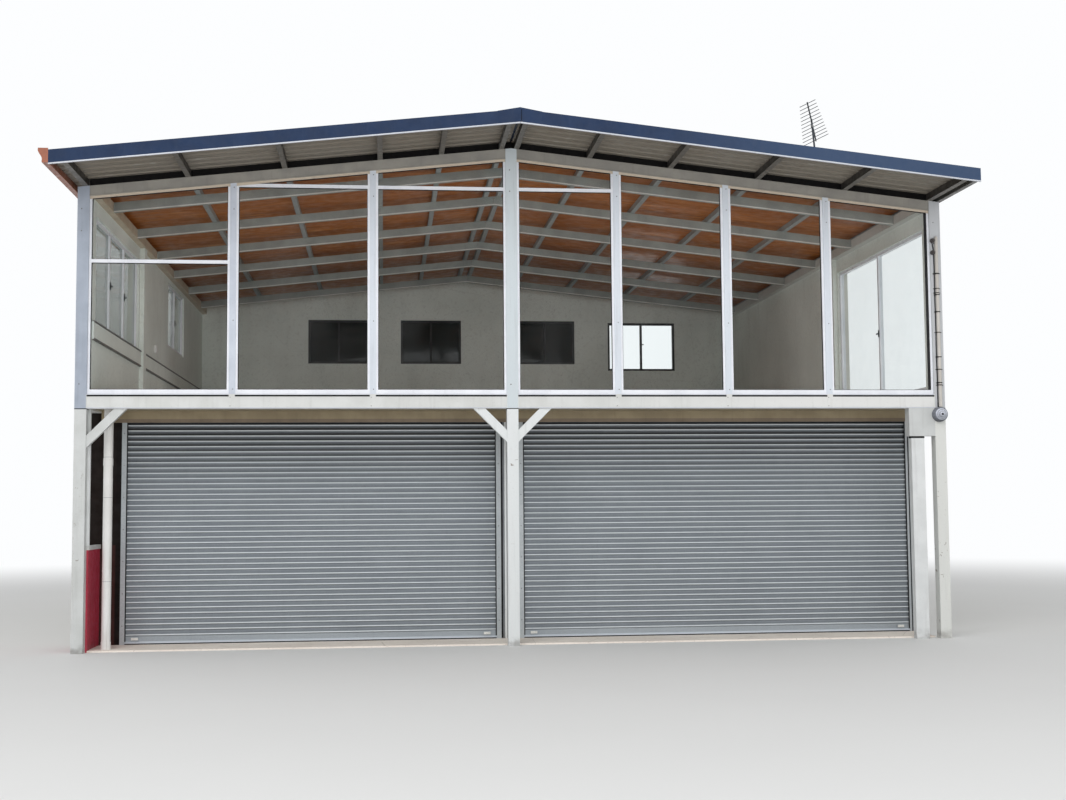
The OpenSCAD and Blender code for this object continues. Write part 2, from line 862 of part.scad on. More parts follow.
// Roof sheets: trapezoidal ribs that run from the ridge to the eave
rib_foot = 70;
rib_top = 34;
ridge_gap = 15;
eave_drip = 25;
right_gutter_w = 62;
right_gutter_x = roof_right_x - right_gutter_w;
trim_lip = 5;
rib_top_off = (sheet_t + rib_h) / cos(roof_pitch);

function rib_line(y, off) = [
    [y, off], [y + (rib_foot - rib_top) / 2, rib_h + off],
    [y + (rib_foot + rib_top) / 2, rib_h + off], [y + rib_foot, off]];

module roof_sheet(run, y0, y1) {
    ribs = floor((y1 - y0 - rib_foot) / rib_pitch);
    first = (y1 - y0 - ribs * rib_pitch - rib_foot) / 2;
    top = [for (i = [0 : ribs]) each rib_line(first + i * rib_pitch, sheet_t)];
    under = [for (i = [ribs : -1 : 0])
        let (r = rib_line(first + i * rib_pitch, 0))
            each [r[3], r[2], r[1], r[0]]];
    rotate([90, 0, 90])
        linear_extrude(run)
            polygon(concat([[0, 0], [0, sheet_t]], top, [[y1 - y0, sheet_t], [y1 - y0, 0]], under));
}

sheet_y0 = roof_front_y + fascia_t;
sheet_y1 = roof_rear_y - fascia_t;

module right_roof_sheet() {
    color("lightslategray")
        translate([ridge_gap, sheet_y0, roof_z(ridge_gap, 0)])
            rotate([0, roof_pitch, 0])
                roof_sheet((right_gutter_x + eave_drip - ridge_gap) / cos(roof_pitch), sheet_y0, sheet_y1);
}

module left_roof_sheet() {
    color("lightslategray")
        mirror([1, 0, 0])
            translate([ridge_gap, sheet_y0, roof_z(ridge_gap, 0)])
                rotate([0, roof_pitch, 0])
                    roof_sheet((eave_drip - roof_left_x - ridge_gap) / cos(roof_pitch), sheet_y0, sheet_y1);
}

// Ridge cap on the ribs, and a raised end over each gable's fascia
ridge_end_h = 22;
ridge_end_t = 3;
fascia_top = head_top + fascia_h;

module ridge_cap() {
    color("midnightblue") {
        ridge_bar(-ridge_cap_w, ridge_cap_w, rib_top_off, rib_top_off + sheet_t, sheet_y0, sheet_y1);
        for (y = [roof_front_y, roof_rear_y - fascia_t])
            xz_prism([
                [-ridge_cap_w, roof_z(-ridge_cap_w, fascia_top)], [0, roof_z(0, fascia_top)],
                [ridge_cap_w, roof_z(ridge_cap_w, fascia_top)],
                [ridge_cap_w, roof_z(ridge_cap_w, fascia_top + ridge_end_t)],
                [0, roof_z(0, fascia_top + ridge_end_h)],
                [-ridge_cap_w, roof_z(-ridge_cap_w, fascia_top + ridge_end_t)]], y, y + fascia_t);
    }
}

// Fascias on the front and the rear gable, jointed at the ridge
module fascias() {
    color("midnightblue")
        for (y = [roof_front_y, roof_rear_y - fascia_t])
            slope_pair(roof_left_x, roof_right_x, head_top, fascia_top, y, y + fascia_t, joint_w);
}

// White trim strip under the front and rear fascias
module fascia_trim() {
    color("white")
        for (y = [roof_front_y - trim_lip, roof_rear_y - fascia_t])
            slope_pair(roof_left_x, roof_right_x, head_top - trim_h, head_top,
                y, y + fascia_t + trim_lip, joint_w);
}

// Gutters: an ogee profile on the left, and a box profile on the right between the fascias.
// The outer line starts at the bottom of the back; the sheets drip in over the low back wall.
module gutter(outer, back_h, end_h, y0, y1) {
    last = len(outer) - 1;
    side = outer[last][0] < 0 ? -1 : 1;
    inner = [for (i = [last : -1 : 1]) outer[i] - [side * gutter_t, i == 1 ? -gutter_t : 0]];
    trough = concat([[0, back_h]], outer, inner, [[side * gutter_t, gutter_t], [side * gutter_t, back_h]]);
    length = y1 - y0;
    translate([0, y1, 0])
        rotate([90, 0, 0]) {
            linear_extrude(length)
                polygon(trough);
            for (y = [0, length - gutter_t])
                translate([0, 0, y])
                    linear_extrude(gutter_t)
                        polygon(concat([[0, end_h]], outer));
        }
}

gutter_foot = 0.62;
ogee_steps = 8;
ogee_wave = 0.09;
sheet_clear = 3;
left_back_h = gutter_h - 88;
left_gutter_z = roof_z(roof_left_x, -sheet_clear) - left_back_h;
right_back_h = purlin_h - sheet_clear;
right_gutter_z = roof_z(right_gutter_x, head_top);
gutter_drop = 12;

module left_gutter() {
    ogee = [for (i = [0 : ogee_steps])
        let (t = i / ogee_steps)
            [-gutter_w * (gutter_foot + (1 - gutter_foot) * t - ogee_wave * sin(360 * t)),
                gutter_h * (0.1 + 0.9 * t)]];
    color("sienna")
        translate([roof_left_x, 0, left_gutter_z])
            gutter(concat([[0, 0], [-gutter_w * gutter_foot, 0]], ogee), left_back_h, gutter_h,
                roof_front_y, roof_rear_y);
}

module right_gutter() {
    color("darkgray")
        translate([right_gutter_x, 0, right_gutter_z])
            gutter([[0, 0], [right_gutter_w, 0], [right_gutter_w, fascia_h - gutter_drop]], right_back_h,
                right_back_h, sheet_y0, sheet_y1);
}

// Service fittings on the front of the right end post
conduit_x = right_post_x + 2;
conduit_y = front_y - conduit_d / 2;
conduit_top_z = floor_z + glass_h * 0.68;
meter_x = right_post_x - 15;
meter_drop = 83;
meter_z = ground_h - meter_drop;
meter_l = 118;
spool_x = right_post_x - 50;
spool_gap = 155;
spool_z = floor_z + glass_h * 0.615;
spool_l = 66;
strap_w = 92;
strap_h = 12;
strap_t = 3;
straps_z = [110, 310, 785, 1295, 1350, 1545];

module service_conduit() {
    color("beige")
        translate([conduit_x, conduit_y, meter_z + meter_d / 2 + 3]) {
            cylinder(d = conduit_d, h = conduit_top_z - meter_z - meter_d / 2 - 3);
            translate([0, 0, conduit_top_z - meter_z - meter_d / 2 - 3])
                sphere(d = conduit_d);
        }
}

// Turned profile standing out from the front of the post
module turned(x, z, points) {
    translate([x, front_y, z])
        rotate([90, 0, 0])
            rotate_extrude()
                polygon(points);
}

// Two spool insulators and the straps that hold the conduit
module post_fittings() {
    r = spool_d / 2;
    color("saddlebrown") {
        for (z = [spool_z, spool_z + spool_gap])
            turned(spool_x, z, [
                [0, 0], [r * 0.45, 0], [r * 0.45, 10], [r * 0.8, 12], [r, 18],
                [r * 0.95, 26], [r * 0.6, 30], [r * 0.6, 38], [r * 0.95, 42], [r, 50],
                [r * 0.8, 56], [r * 0.3, 58], [r * 0.3, spool_l], [0, spool_l]]);
        for (z = straps_z)
            difference() {
                block([conduit_x - strap_w / 2, front_y - strap_t, floor_z + z],
                    [conduit_x + strap_w / 2, front_y, floor_z + z + strap_h]);
                translate([conduit_x, conduit_y, floor_z + z - 1])
                    cylinder(d = conduit_d + 0.6, h = strap_h + 2);
            }
        for (z = straps_z)
            translate([conduit_x, conduit_y, floor_z + z])
                linear_extrude(strap_h)
                    difference() {
                        circle(d = conduit_d + 2 * strap_t);
                        circle(d = conduit_d + 0.6);
                        translate([-conduit_d, conduit_d / 2 - strap_t])
                            square(2 * conduit_d);
                    }
    }
}

// Round ribbed meter: back flange, body with ribs and a small nose, as shares of its radius and length
meter_line = [
    [0, 0], [1, 0], [1, 0.12], [0.93, 0.15], [0.93, 0.25], [1, 0.29], [1, 0.36], [0.9, 0.4], [0.9, 0.49],
    [0.95, 0.53], [0.95, 0.59], [0.81, 0.66], [0.77, 0.78], [0.42, 0.83], [0.42, 0.95], [0.3, 1], [0, 1]];

module round_meter() {
    r = meter_d / 2;
    color("silver")
        turned(meter_x, meter_z, [for (p = meter_line) [r * p[0], meter_l * p[1]]]);
}

// Antenna on the right slope: a leaning mast with a tilted boom of short rods
mast_x = right_post_x - mast_in;
mast_y = 1930;
mast_d = 26;
mast_lean = 5;
mast_foot = 120;
mast_foot_t = 10;
boom_l = mast_h * 0.8;
boom_d = 20;
boom_drop = 45;
boom_turn = 22;
boom_tilt = 16;
boom_roll = 20;
element_d = 9;
element_count = 12;
element_in = 25;
element_gap = (boom_l - 2 * element_in) / (element_count - 1);
element_l = mast_h * 0.17;
element_grow = 15;

module boom_with_rods() {
    translate([0, boom_l / 2, 0])
        rotate([90, 0, 0])
            cylinder(d = boom_d, h = boom_l);
    for (i = [0 : element_count - 1])
        translate([0, element_in - boom_l / 2 + i * element_gap, 0])
            rotate([0, 90, 0])
                cylinder(d = element_d, h = element_l + element_grow * i, center = true);
}

module roof_antenna() {
    foot_z = roof_z(mast_x - mast_foot / 2, rib_top_off) + mast_foot_t;
    color("dimgray") {
        xz_prism([
            [mast_x - mast_foot / 2, roof_z(mast_x - mast_foot / 2, rib_top_off)],
            [mast_x + mast_foot / 2, roof_z(mast_x + mast_foot / 2, rib_top_off)],
            [mast_x + mast_foot / 2, foot_z], [mast_x - mast_foot / 2, foot_z]],
            mast_y - rib_pitch * 0.6, mast_y + rib_pitch * 0.6);
        translate([mast_x, mast_y, foot_z - mast_foot_t / 2])
            rotate([0, -mast_lean, 0]) {
                cylinder(d = mast_d, h = mast_h);
                translate([0, 0, mast_h - boom_drop])
                    rotate([0, 0, -boom_turn])
                        rotate([-boom_tilt, 0, 0])
                            rotate([0, -boom_roll, 0])
                                boom_with_rods();
            }
    }
}

lower_posts();
upper_posts();
corner_pier();
knee_braces();
edge_beams();
ground_slab();
upper_floor();
porch_ceiling();
shutter_lintel();
left_shutter();
right_shutter();
shutter_guides();
centre_jamb();
shutter_coils();
left_ground_wall();
right_ground_wall();
rear_ground_wall();
side_screen();
screen_cap();
downpipe();
mullions();
head_beams();
glazing_frames();
front_glass();
left_upper_wall();
right_upper_wall();
rear_upper_wall();
side_window_frames();
rear_window_frames();
window_glass();
eave_beams();
rafters();
purlins();
ceiling_boards();
left_roof_sheet();
right_roof_sheet();
ridge_cap();
fascias();
fascia_trim();
left_gutter();
right_gutter();
service_conduit();
post_fittings();
round_meter();
roof_antenna();
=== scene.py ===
"""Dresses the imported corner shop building: finishes, small fasteners, trims, the studio and the camera."""

import logging
import math
import random
from dataclasses import dataclass
from enum import Enum
from typing import Sequence

import bmesh
import bpy
from mathutils import Matrix, Vector


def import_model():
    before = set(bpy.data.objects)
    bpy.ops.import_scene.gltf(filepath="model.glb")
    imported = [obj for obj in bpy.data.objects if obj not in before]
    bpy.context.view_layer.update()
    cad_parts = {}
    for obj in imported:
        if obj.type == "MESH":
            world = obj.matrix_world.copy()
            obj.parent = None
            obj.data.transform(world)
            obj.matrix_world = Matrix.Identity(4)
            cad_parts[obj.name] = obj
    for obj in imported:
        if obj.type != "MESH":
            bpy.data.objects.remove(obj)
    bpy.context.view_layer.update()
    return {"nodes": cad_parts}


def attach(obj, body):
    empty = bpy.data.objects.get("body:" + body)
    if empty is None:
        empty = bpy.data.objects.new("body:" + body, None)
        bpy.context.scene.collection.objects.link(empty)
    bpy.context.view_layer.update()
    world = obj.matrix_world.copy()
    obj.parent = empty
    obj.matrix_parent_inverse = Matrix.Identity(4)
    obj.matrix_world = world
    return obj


log = logging.getLogger("corner_shop")

Colour = tuple[float, float, float]
Point = tuple[float, float, float]
Socket = bpy.types.NodeSocket

RIDGE = 6.25
SLOPE = math.tan(math.radians(6.2))
PURLINS = (-5.165, -3.951, -2.789, -1.627, -0.868, -0.12, 0.07, 0.988, 2.02, 3.148, 4.282, 5.4)


def roof_line(x: float, off: float = 0.0) -> float:
    """Returns the height of the roof line at x, plus an offset."""
    return RIDGE - SLOPE * abs(x) + off


class Way(Enum):
    """The direction that a screw's head or a turned form faces."""

    RIGHT = (1.0, 0.0, 0.0)
    FRONT = (0.0, -1.0, 0.0)
    UP = (0.0, 0.0, 1.0)


def srgb(red: int, green: int, blue: int) -> Colour:
    """Turns screen values of 0 to 255 into linear light.

    Args:
        red: Red value.
        green: Green value.
        blue: Blue value.

    Returns:
        The colour as three linear numbers.
    """

    def linear(value: int) -> float:
        """Returns one channel in linear light."""
        part = value / 255.0
        return part / 12.92 if part <= 0.04045 else ((part + 0.055) / 1.055) ** 2.4

    return (linear(red), linear(green), linear(blue))


class Shading:
    """A node tree in the making: one shader fed from the piece's own coordinates."""

    def __init__(self, name: str) -> None:
        """Starts a material.

        Args:
            name: Name of the material.
        """
        self.material = bpy.data.materials.new(name)
        self.material.use_nodes = True
        self.tree = self.material.node_tree
        self.tree.nodes.clear()
        self.output = self.node("ShaderNodeOutputMaterial")
        self.shader = self.node("ShaderNodeBsdfPrincipled")
        self.link(self.shader.outputs[0], self.output.inputs["Surface"])
        source = self.node("ShaderNodeTexCoord")
        self.place, self.facing = source.outputs["Object"], source.outputs["Normal"]
        self.x, self.y, self.z = self.split(self.place)

    def node(self, kind: str) -> bpy.types.Node:
        """Returns a new node of that kind."""
        return self.tree.nodes.new(kind)

    def link(self, source: Socket, target: Socket) -> None:
        """Joins two sockets."""
        self.tree.links.new(source, target)

    def split(self, value: Socket) -> tuple[Socket, Socket, Socket]:
        """Takes a vector apart.

        Args:
            value: The vector.

        Returns:
            Its three numbers.
        """
        parts = self.node("ShaderNodeSeparateXYZ")
        self.link(value, parts.inputs[0])
        return parts.outputs[0], parts.outputs[1], parts.outputs[2]

    def feed(self, target: Socket, value: Socket | float) -> None:
        """Joins a socket, or sets a number, on an input.

        Args:
            target: The input.
            value: What it is given.
        """
        if isinstance(value, (int, float)):
            target.default_value = value
        else:
            self.link(value, target)

    def math(self, operation: str, first: Socket | float, second: Socket | float = 0.0) -> Socket:
        """Combines two values.

        Args:
            operation: Name of the sum, such as MULTIPLY.
            first: First value.
            second: Second value.

        Returns:
            The result's socket.
        """
        node = self.node("ShaderNodeMath")
        node.operation = operation
        self.feed(node.inputs[0], first)
        self.feed(node.inputs[1], second)
        return node.outputs[0]

    def times(self, first: Socket | float, second: Socket | float) -> Socket:
        """Returns the product of two values."""
        return self.math("MULTIPLY", first, second)

    def stretched(self, stretch: Point) -> Socket:
        """Scales the coordinates.

        Args:
            stretch: Scale along each axis.

        Returns:
            The scaled coordinates.
        """
        node = self.node("ShaderNodeMapping")
        self.link(self.place, node.inputs["Vector"])
        node.inputs["Scale"].default_value = stretch
        return node.outputs[0]

    def noise(
        self, scale: float, detail: float = 3.0, stretch: Point = (1.0, 1.0, 1.0), warp: float = 0.0
    ) -> Socket:
        """Makes cloudy noise.

        Args:
            scale: Blobs to a metre.
            detail: How many finer layers it has.
            stretch: Scale along each axis.
            warp: How far it is twisted.

        Returns:
            A value from 0 to 1.
        """
        node = self.node("ShaderNodeTexNoise")
        self.link(self.stretched(stretch), node.inputs["Vector"])
        node.inputs["Scale"].default_value = scale
        node.inputs["Detail"].default_value = detail
        node.inputs["Distortion"].default_value = warp
        return node.outputs["Fac"]

    def cells(
        self, scale: float, feature: str = "F1", stretch: Point = (1.0, 1.0, 1.0), tone: bool = False
    ) -> Socket:
        """Makes cells, as in zinc or in crazed paint.

        Args:
            scale: Cells to a metre.
            feature: Which distance is given.
            stretch: Scale along each axis.
            tone: Gives each cell one grey tone instead of a distance.

        Returns:
            The distance or the tone.
        """
        node = self.node("ShaderNodeTexVoronoi")
        node.feature = feature
        self.link(self.stretched(stretch), node.inputs["Vector"])
        node.inputs["Scale"].default_value = scale
        if tone:
            split = self.node("ShaderNodeSeparateColor")
            self.link(node.outputs["Color"], split.inputs[0])
            return split.outputs[0]
        return node.outputs["Distance"]

    def ramp(self, value: Socket, low: float, high: float, start: float = 0.0, end: float = 1.0) -> Socket:
        """Maps a value smoothly from one range to another.

        Args:
            value: What is mapped.
            low: Value that gives start.
            high: Value that gives end.
            start: Result at low.
            end: Result at high.

        Returns:
            The mapped value, kept between start and end.
        """
        node = self.node("ShaderNodeMapRange")
        node.interpolation_type = "SMOOTHSTEP"
        self.link(value, node.inputs[0])
        for index, number in enumerate((low, high, start, end), start=1):
            node.inputs[index].default_value = number
        return node.outputs[0]

    def mix(self, share: Socket, first: Socket | Colour, second: Socket | Colour) -> Socket:
        """Blends two colours.

        Args:
            share: How much of the second shows.
            first: First colour.
            second: Second colour.

        Returns:
            The blend's socket.
        """
        node = self.node("ShaderNodeMix")
        node.data_type = "RGBA"
        self.link(share, node.inputs["Factor"])
        for target, colour in ((node.inputs[6], first), (node.inputs[7], second)):
            if isinstance(colour, tuple):
                target.default_value = (*colour, 1.0)
            else:
                self.link(colour, target)
        return node.outputs[2]

    def relief(self, height: Socket, distance: float, strength: float = 1.0) -> None:
        """Adds a fine relief to the shader, on top of what it already has.

        Args:
            height: Height from 0 to 1.
            distance: Real height in metres.
            strength: How much of it shows.
        """
        node = self.node("ShaderNodeBump")
        node.inputs["Distance"].default_value = distance
        node.inputs["Strength"].default_value = strength
        self.link(height, node.inputs["Height"])
        target = self.shader.inputs["Normal"]
        if target.is_linked:
            self.link(target.links[0].from_socket, node.inputs["Normal"])
        self.link(node.outputs[0], target)

    def colour(self, value: Socket) -> None:
        """Joins the shader's colour."""
        self.link(value, self.shader.inputs["Base Color"])

    def rough(self, value: Socket) -> None:
        """Joins the shader's roughness."""
        self.link(value, self.shader.inputs["Roughness"])


@dataclass(frozen=True)
class Paint:
    """Brushed or sprayed paint on steel, with rain streaks, dust and chips.

    The tone may change along the building, above a height or at the raked head; faces turned down take
    painted light or shade, and parts indoors take painted light.
    """

    name: str
    colour: Colour
    shade: Colour
    dirt: Colour = srgb(96, 90, 82)
    rough: tuple[float, float] = (0.35, 0.6)
    streaks: float = 0.35
    chips: float = 0.0
    foot: float = 0.0
    head: Colour | None = None
    centre: Colour | None = None
    right: Colour | None = None
    indoor_light: Colour | None = None
    under: Colour | None = None
    above: tuple[float, Colour, Colour] | None = None
    patches: float = 4.0
    left_fade: tuple[float, float] = (-4.0, -1.0)
    right_fade: tuple[float, float] = (1.0, 4.0)
    indoor_light_fade: tuple[float, float] = (-0.06, -0.04)
    head_fade: tuple[float, float] = (RIDGE - 0.25, RIDGE - 0.24)

    def make(self) -> bpy.types.Material:
        """Makes the finish.

        Returns:
            The finished material.
        """
        s = Shading(self.name)
        patch = s.ramp(s.noise(self.patches, 4.0), 0.3, 0.7)
        tone = s.mix(patch, self.colour, self.shade)
        if self.centre is not None:
            tone = s.mix(s.ramp(s.x, *self.left_fade), tone, self.centre)
        if self.right is not None:
            tone = s.mix(s.ramp(s.x, *self.right_fade), tone, self.right)
        # Faces turned down take their own tone: painted light or shade on undersides.
        if self.under is not None:
            tone = s.mix(s.ramp(s.split(s.facing)[2], -0.5, -0.8), tone, self.under)
        # Parts behind the front glass take a lighter tone: painted light on the lit indoor side.
        if self.indoor_light is not None:
            tone = s.mix(s.ramp(s.y, *self.indoor_light_fade), tone, self.indoor_light)
        if self.above is not None:
            start, colour, shade = self.above
            tone = s.mix(s.ramp(s.z, start, start + 0.004), tone, s.mix(patch, colour, shade))
        if self.head is not None:
            line = s.math("ADD", s.z, s.times(s.math("ABSOLUTE", s.x), SLOPE))
            top = s.times(s.ramp(line, *self.head_fade), s.ramp(s.y, 0.06, 0.05))
            tone = s.mix(top, tone, self.head)
        runs = s.times(s.ramp(s.noise(3.0, 5.0, (7.0, 7.0, 0.45)), 0.52, 0.85), self.streaks)
        tone = s.mix(runs, tone, self.dirt)
        dust = s.times(s.ramp(s.noise(60.0, 3.0), 0.58, 0.78), 0.12)
        tone = s.mix(dust, tone, self.dirt)
        if self.chips > 0.0:
            worn = s.ramp(s.noise(1.6, 2.0), 0.5, 0.62)
            spots = s.times(s.ramp(s.noise(22.0, 6.0, warp=0.6), 0.66, 0.69), worn)
            tone = s.mix(s.times(spots, self.chips), tone, srgb(120, 104, 92))
            s.relief(spots, 0.0006)
        if self.foot > 0.0:
            low = s.times(s.ramp(s.z, self.foot, 0.02), s.ramp(s.noise(9.0, 4.0), 0.3, 0.65))
            tone = s.mix(s.times(low, 0.55), tone, self.dirt)
        s.colour(tone)
        s.rough(s.ramp(s.noise(14.0, 4.0), 0.25, 0.75, *self.rough))
        s.relief(s.noise(220.0, 2.0), 0.0003, 0.5)
        s.relief(s.noise(2.2, 2.0, (1.0, 1.0, 0.6)), 0.004, 0.35)
        s.shader.inputs["Specular IOR Level"].default_value = 0.45
        return s.material


@dataclass(frozen=True)
class Zinc:
    """Galvanised steel with spangle, dull patches and fine vertical stains, and optional painted shade on
    undersides and painted light and shade along a shutter's slats.
    """

    name: str
    colour: Colour
    dark: Colour
    pale: Colour
    metal: float = 0.55
    rough: tuple[float, float] = (0.32, 0.52)
    dents: float = 0.0
    under: Colour | None = None
    slats: tuple[float, float] | None = None
    top_shade: tuple[float, float] = (1.95, 2.7)
    foot_highlight_band: tuple[float, float] = (0.06, 0.054)

    def slat_light_and_shade(self, s: Shading, tone: Socket, first: float, pitch: float) -> Socket:
        """Paints light and shade on the slats: painted shade in each slat's hollow web, a painted highlight
        on its crown and on the bottom bar's foot, and painted shade fading the curtain's top.

        Args:
            s: The tree.
            tone: Colour so far.
            first: Height of the lowest slat's foot.
            pitch: Height from slat to slat.

        Returns:
            The new colour.
        """
        step = s.math("FRACT", s.math("DIVIDE", s.math("SUBTRACT", s.z, first), pitch))
        above = s.ramp(s.z, first, first + 0.001)
        # Painted shade: each slat's web darkens below the crown above it.
        web_shade = s.times(s.ramp(step, 0.33, 0.38), above)
        tone = s.mix(s.times(web_shade, s.ramp(step, 1.0, 0.55, 0.3, 0.55)), tone, srgb(66, 72, 78))
        # Painted shade: the webs near the lintel go nearly black.
        high = s.times(s.ramp(s.z, *self.top_shade, 0.0, 0.95), s.ramp(step, 1.0, 0.4, 0.35, 1.0))
        tone = s.mix(s.times(web_shade, high), tone, srgb(24, 24, 24))
        # Painted highlight along each slat's crown.
        crown_highlight = s.times(s.ramp(step, 0.1, 0.18, 0.0, 0.85), s.ramp(step, 0.36, 0.3))
        tone = s.mix(s.times(crown_highlight, above), tone, srgb(226, 232, 236))
        # The bottom bar is a touch paler, with a painted highlight along its foot.
        bar = s.ramp(s.z, first, first - 0.002)
        foot_highlight = s.ramp(s.z, *self.foot_highlight_band, 0.12, 0.9)
        return s.mix(s.times(bar, foot_highlight), tone, srgb(214, 222, 230))

    def make(self) -> bpy.types.Material:
        """Makes the finish.

        Returns:
            The finished material.
        """
        s = Shading(self.name)
        spangle = s.cells(70.0, tone=True)
        tone = s.mix(s.ramp(spangle, 0.1, 0.9, 0.0, 0.5), self.colour, self.pale)
        # Faces turned down take the under tone: painted shade on undersides.
        if self.under is not None:
            tone = s.mix(s.ramp(s.split(s.facing)[2], -0.1, -0.3), tone, self.under)
        cloud = s.ramp(s.noise(1.1, 4.0, (1.0, 1.0, 1.6)), 0.35, 0.7)
        tone = s.mix(s.times(cloud, 0.3), tone, self.dark)
        runs = s.ramp(s.noise(2.0, 5.0, (9.0, 9.0, 0.35)), 0.52, 0.8, 0.0, 0.25)
        tone = s.mix(runs, tone, self.dark)
        scuff = s.ramp(s.noise(18.0, 4.0, (0.25, 1.0, 1.0)), 0.62, 0.74, 0.0, 0.35)
        tone = s.mix(scuff, tone, self.pale)
        if self.slats is not None:
            tone = self.slat_light_and_shade(s, tone, *self.slats)
        s.colour(tone)
        s.shader.inputs["Metallic"].default_value = self.metal
        s.rough(s.ramp(s.noise(6.0, 5.0), 0.3, 0.75, *self.rough))
        if self.dents > 0.0:
            s.relief(s.noise(1.7, 2.0, (0.6, 1.0, 5.0), 0.2), self.dents, 0.8)
        s.relief(s.noise(140.0, 2.0), 0.0002, 0.4)
        return s.material


@dataclass(frozen=True)
class Render:
    """Trowelled plaster or concrete with mottling, damp runs and hairlines."""

    name: str
    colour: Colour
    shade: Colour
    stain: Colour
    damp: float = 0.4
    grain: float = 0.0012
    cracks: float = 0.5
    rough: tuple[float, float] = (0.75, 0.95)

    def tone(self, s: Shading) -> Socket:
        """Weathers the colour inside a tree.

        Args:
            s: The tree.

        Returns:
            The weathered colour.
        """
        tone = s.mix(s.ramp(s.noise(0.9, 6.0), 0.3, 0.7), self.colour, self.shade)
        tone = s.mix(s.ramp(s.noise(26.0, 4.0), 0.5, 0.8, 0.0, 0.3), tone, self.stain)
        runs = s.ramp(s.noise(1.3, 6.0, (3.2, 3.2, 0.5)), 0.5, 0.85, 0.0, self.damp)
        tone = s.mix(runs, tone, self.stain)
        if self.cracks > 0.0:
            hair = s.ramp(s.cells(0.8, "DISTANCE_TO_EDGE"), 0.0035, 0.0, 0.0, self.cracks)
            tone = s.mix(hair, tone, self.stain)
        return tone

    def make(self) -> bpy.types.Material:
        """Makes the finish.

        Returns:
            The finished material.
        """
        s = Shading(self.name)
        s.colour(self.tone(s))
        s.rough(s.ramp(s.noise(11.0, 4.0), 0.3, 0.7, *self.rough))
        s.relief(s.noise(90.0, 5.0), self.grain, 0.6)
        s.relief(s.noise(3.5, 3.0), 0.004, 0.3)
        s.shader.inputs["Specular IOR Level"].default_value = 0.25
        return s.material


@dataclass(frozen=True)
class Wall:
    """A wall's three coats: the room side, the weather side and, on a low nib, a dado with painted shade
    above it and a painted shadow strip beside the shutter guide.
    """

    name: str
    room: Render
    weather: Render
    inner: float
    rear: bool = False
    right: bool = False
    dado: Colour | None = None
    dado_top: float = 1.25
    nib_front: float = 0.80
    guide_shadow_left: float = -4.93
    rear_face: float = 10.62
    splash: tuple[float, float] = (0.7, 0.05)
    eaves: tuple[float, float] = (4.6, 5.7)

    def make(self) -> bpy.types.Material:
        """Makes the finish.

        Returns:
            The finished material.
        """
        s = Shading(self.name)
        across = s.y if self.rear else s.x
        outward = s.ramp(across, self.inner, self.inner + (0.01 if self.right or self.rear else -0.01))
        if not self.rear:
            outward = s.math("MAXIMUM", outward, s.ramp(s.y, self.rear_face - 0.01, self.rear_face))
        mud = s.ramp(s.noise(4.0, 5.0, (1.0, 1.0, 0.6)), 0.35, 0.7, 0.0, 0.5)
        drips = s.ramp(s.noise(2.4, 5.0, (2.6, 2.6, 0.3)), 0.5, 0.8, 0.0, 0.3)
        low, high = s.ramp(s.z, *self.splash), s.ramp(s.z, *self.eaves)
        dirt = s.math("ADD", s.times(low, mud), s.times(high, drips))
        outside = s.mix(dirt, self.weather.tone(s), srgb(128, 122, 112))
        tone = s.mix(outward, self.room.tone(s), outside)
        if self.dado is not None:
            # The nib's front: a dado much darker than the screen's maroon, as painted shade at the back of
            # the porch, near-black painted shade above it, and a painted shadow strip beside the guide.
            front = s.ramp(s.y, self.nib_front, self.nib_front - 0.01)
            dado_and_shade = s.mix(s.ramp(s.z, self.dado_top, self.dado_top + 0.01), self.dado, srgb(26, 19, 16))
            dado_and_shade = s.mix(s.ramp(s.x, self.guide_shadow_left, self.guide_shadow_left + 0.03), dado_and_shade, srgb(20, 15, 14))
            worn = s.mix(s.ramp(s.noise(8.0, 5.0), 0.45, 0.8, 0.0, 0.5), dado_and_shade, srgb(40, 30, 28))
            tone = s.mix(front, tone, worn)
        s.colour(tone)
        s.rough(s.ramp(s.noise(11.0, 4.0), 0.3, 0.7, 0.7, 0.93))
        s.relief(s.noise(90.0, 5.0), self.weather.grain, 0.6)
        s.relief(s.noise(3.5, 3.0), 0.005, 0.3)
        s.shader.inputs["Specular IOR Level"].default_value = 0.25
        return s.material


@dataclass(frozen=True)
class Timber:
    """Varnished boards, with the grain along X."""

    name: str
    colour: Colour
    dark: Colour
    pale: Colour

    def make(self) -> bpy.types.Material:
        """Makes the finish.

        Returns:
            The finished material.
        """
        s = Shading(self.name)
        board = s.cells(0.8, tone=True, stretch=(0.55, 1.0, 0.01))
        grain = s.noise(5.0, 7.0, (0.35, 7.0, 1.0), 0.8)
        tone = s.mix(s.ramp(grain, 0.3, 0.7), self.colour, self.dark)
        tone = s.mix(s.ramp(s.noise(3.0, 5.0, (0.25, 3.0, 1.0), 1.4), 0.55, 0.75, 0.0, 0.6), tone, self.pale)
        tone = s.mix(s.ramp(board, 0.2, 0.9, 0.0, 0.35), tone, self.dark)
        s.colour(tone)
        s.rough(s.ramp(s.noise(7.0, 3.0), 0.3, 0.7, 0.32, 0.5))
        s.relief(grain, 0.0004, 0.4)
        s.relief(s.noise(1.1, 2.0, (0.4, 1.0, 1.0)), 0.003, 0.3)
        s.shader.inputs["Specular IOR Level"].default_value = 0.35
        s.shader.inputs["Coat Weight"].default_value = 0.12
        s.shader.inputs["Coat Roughness"].default_value = 0.25
        return s.material


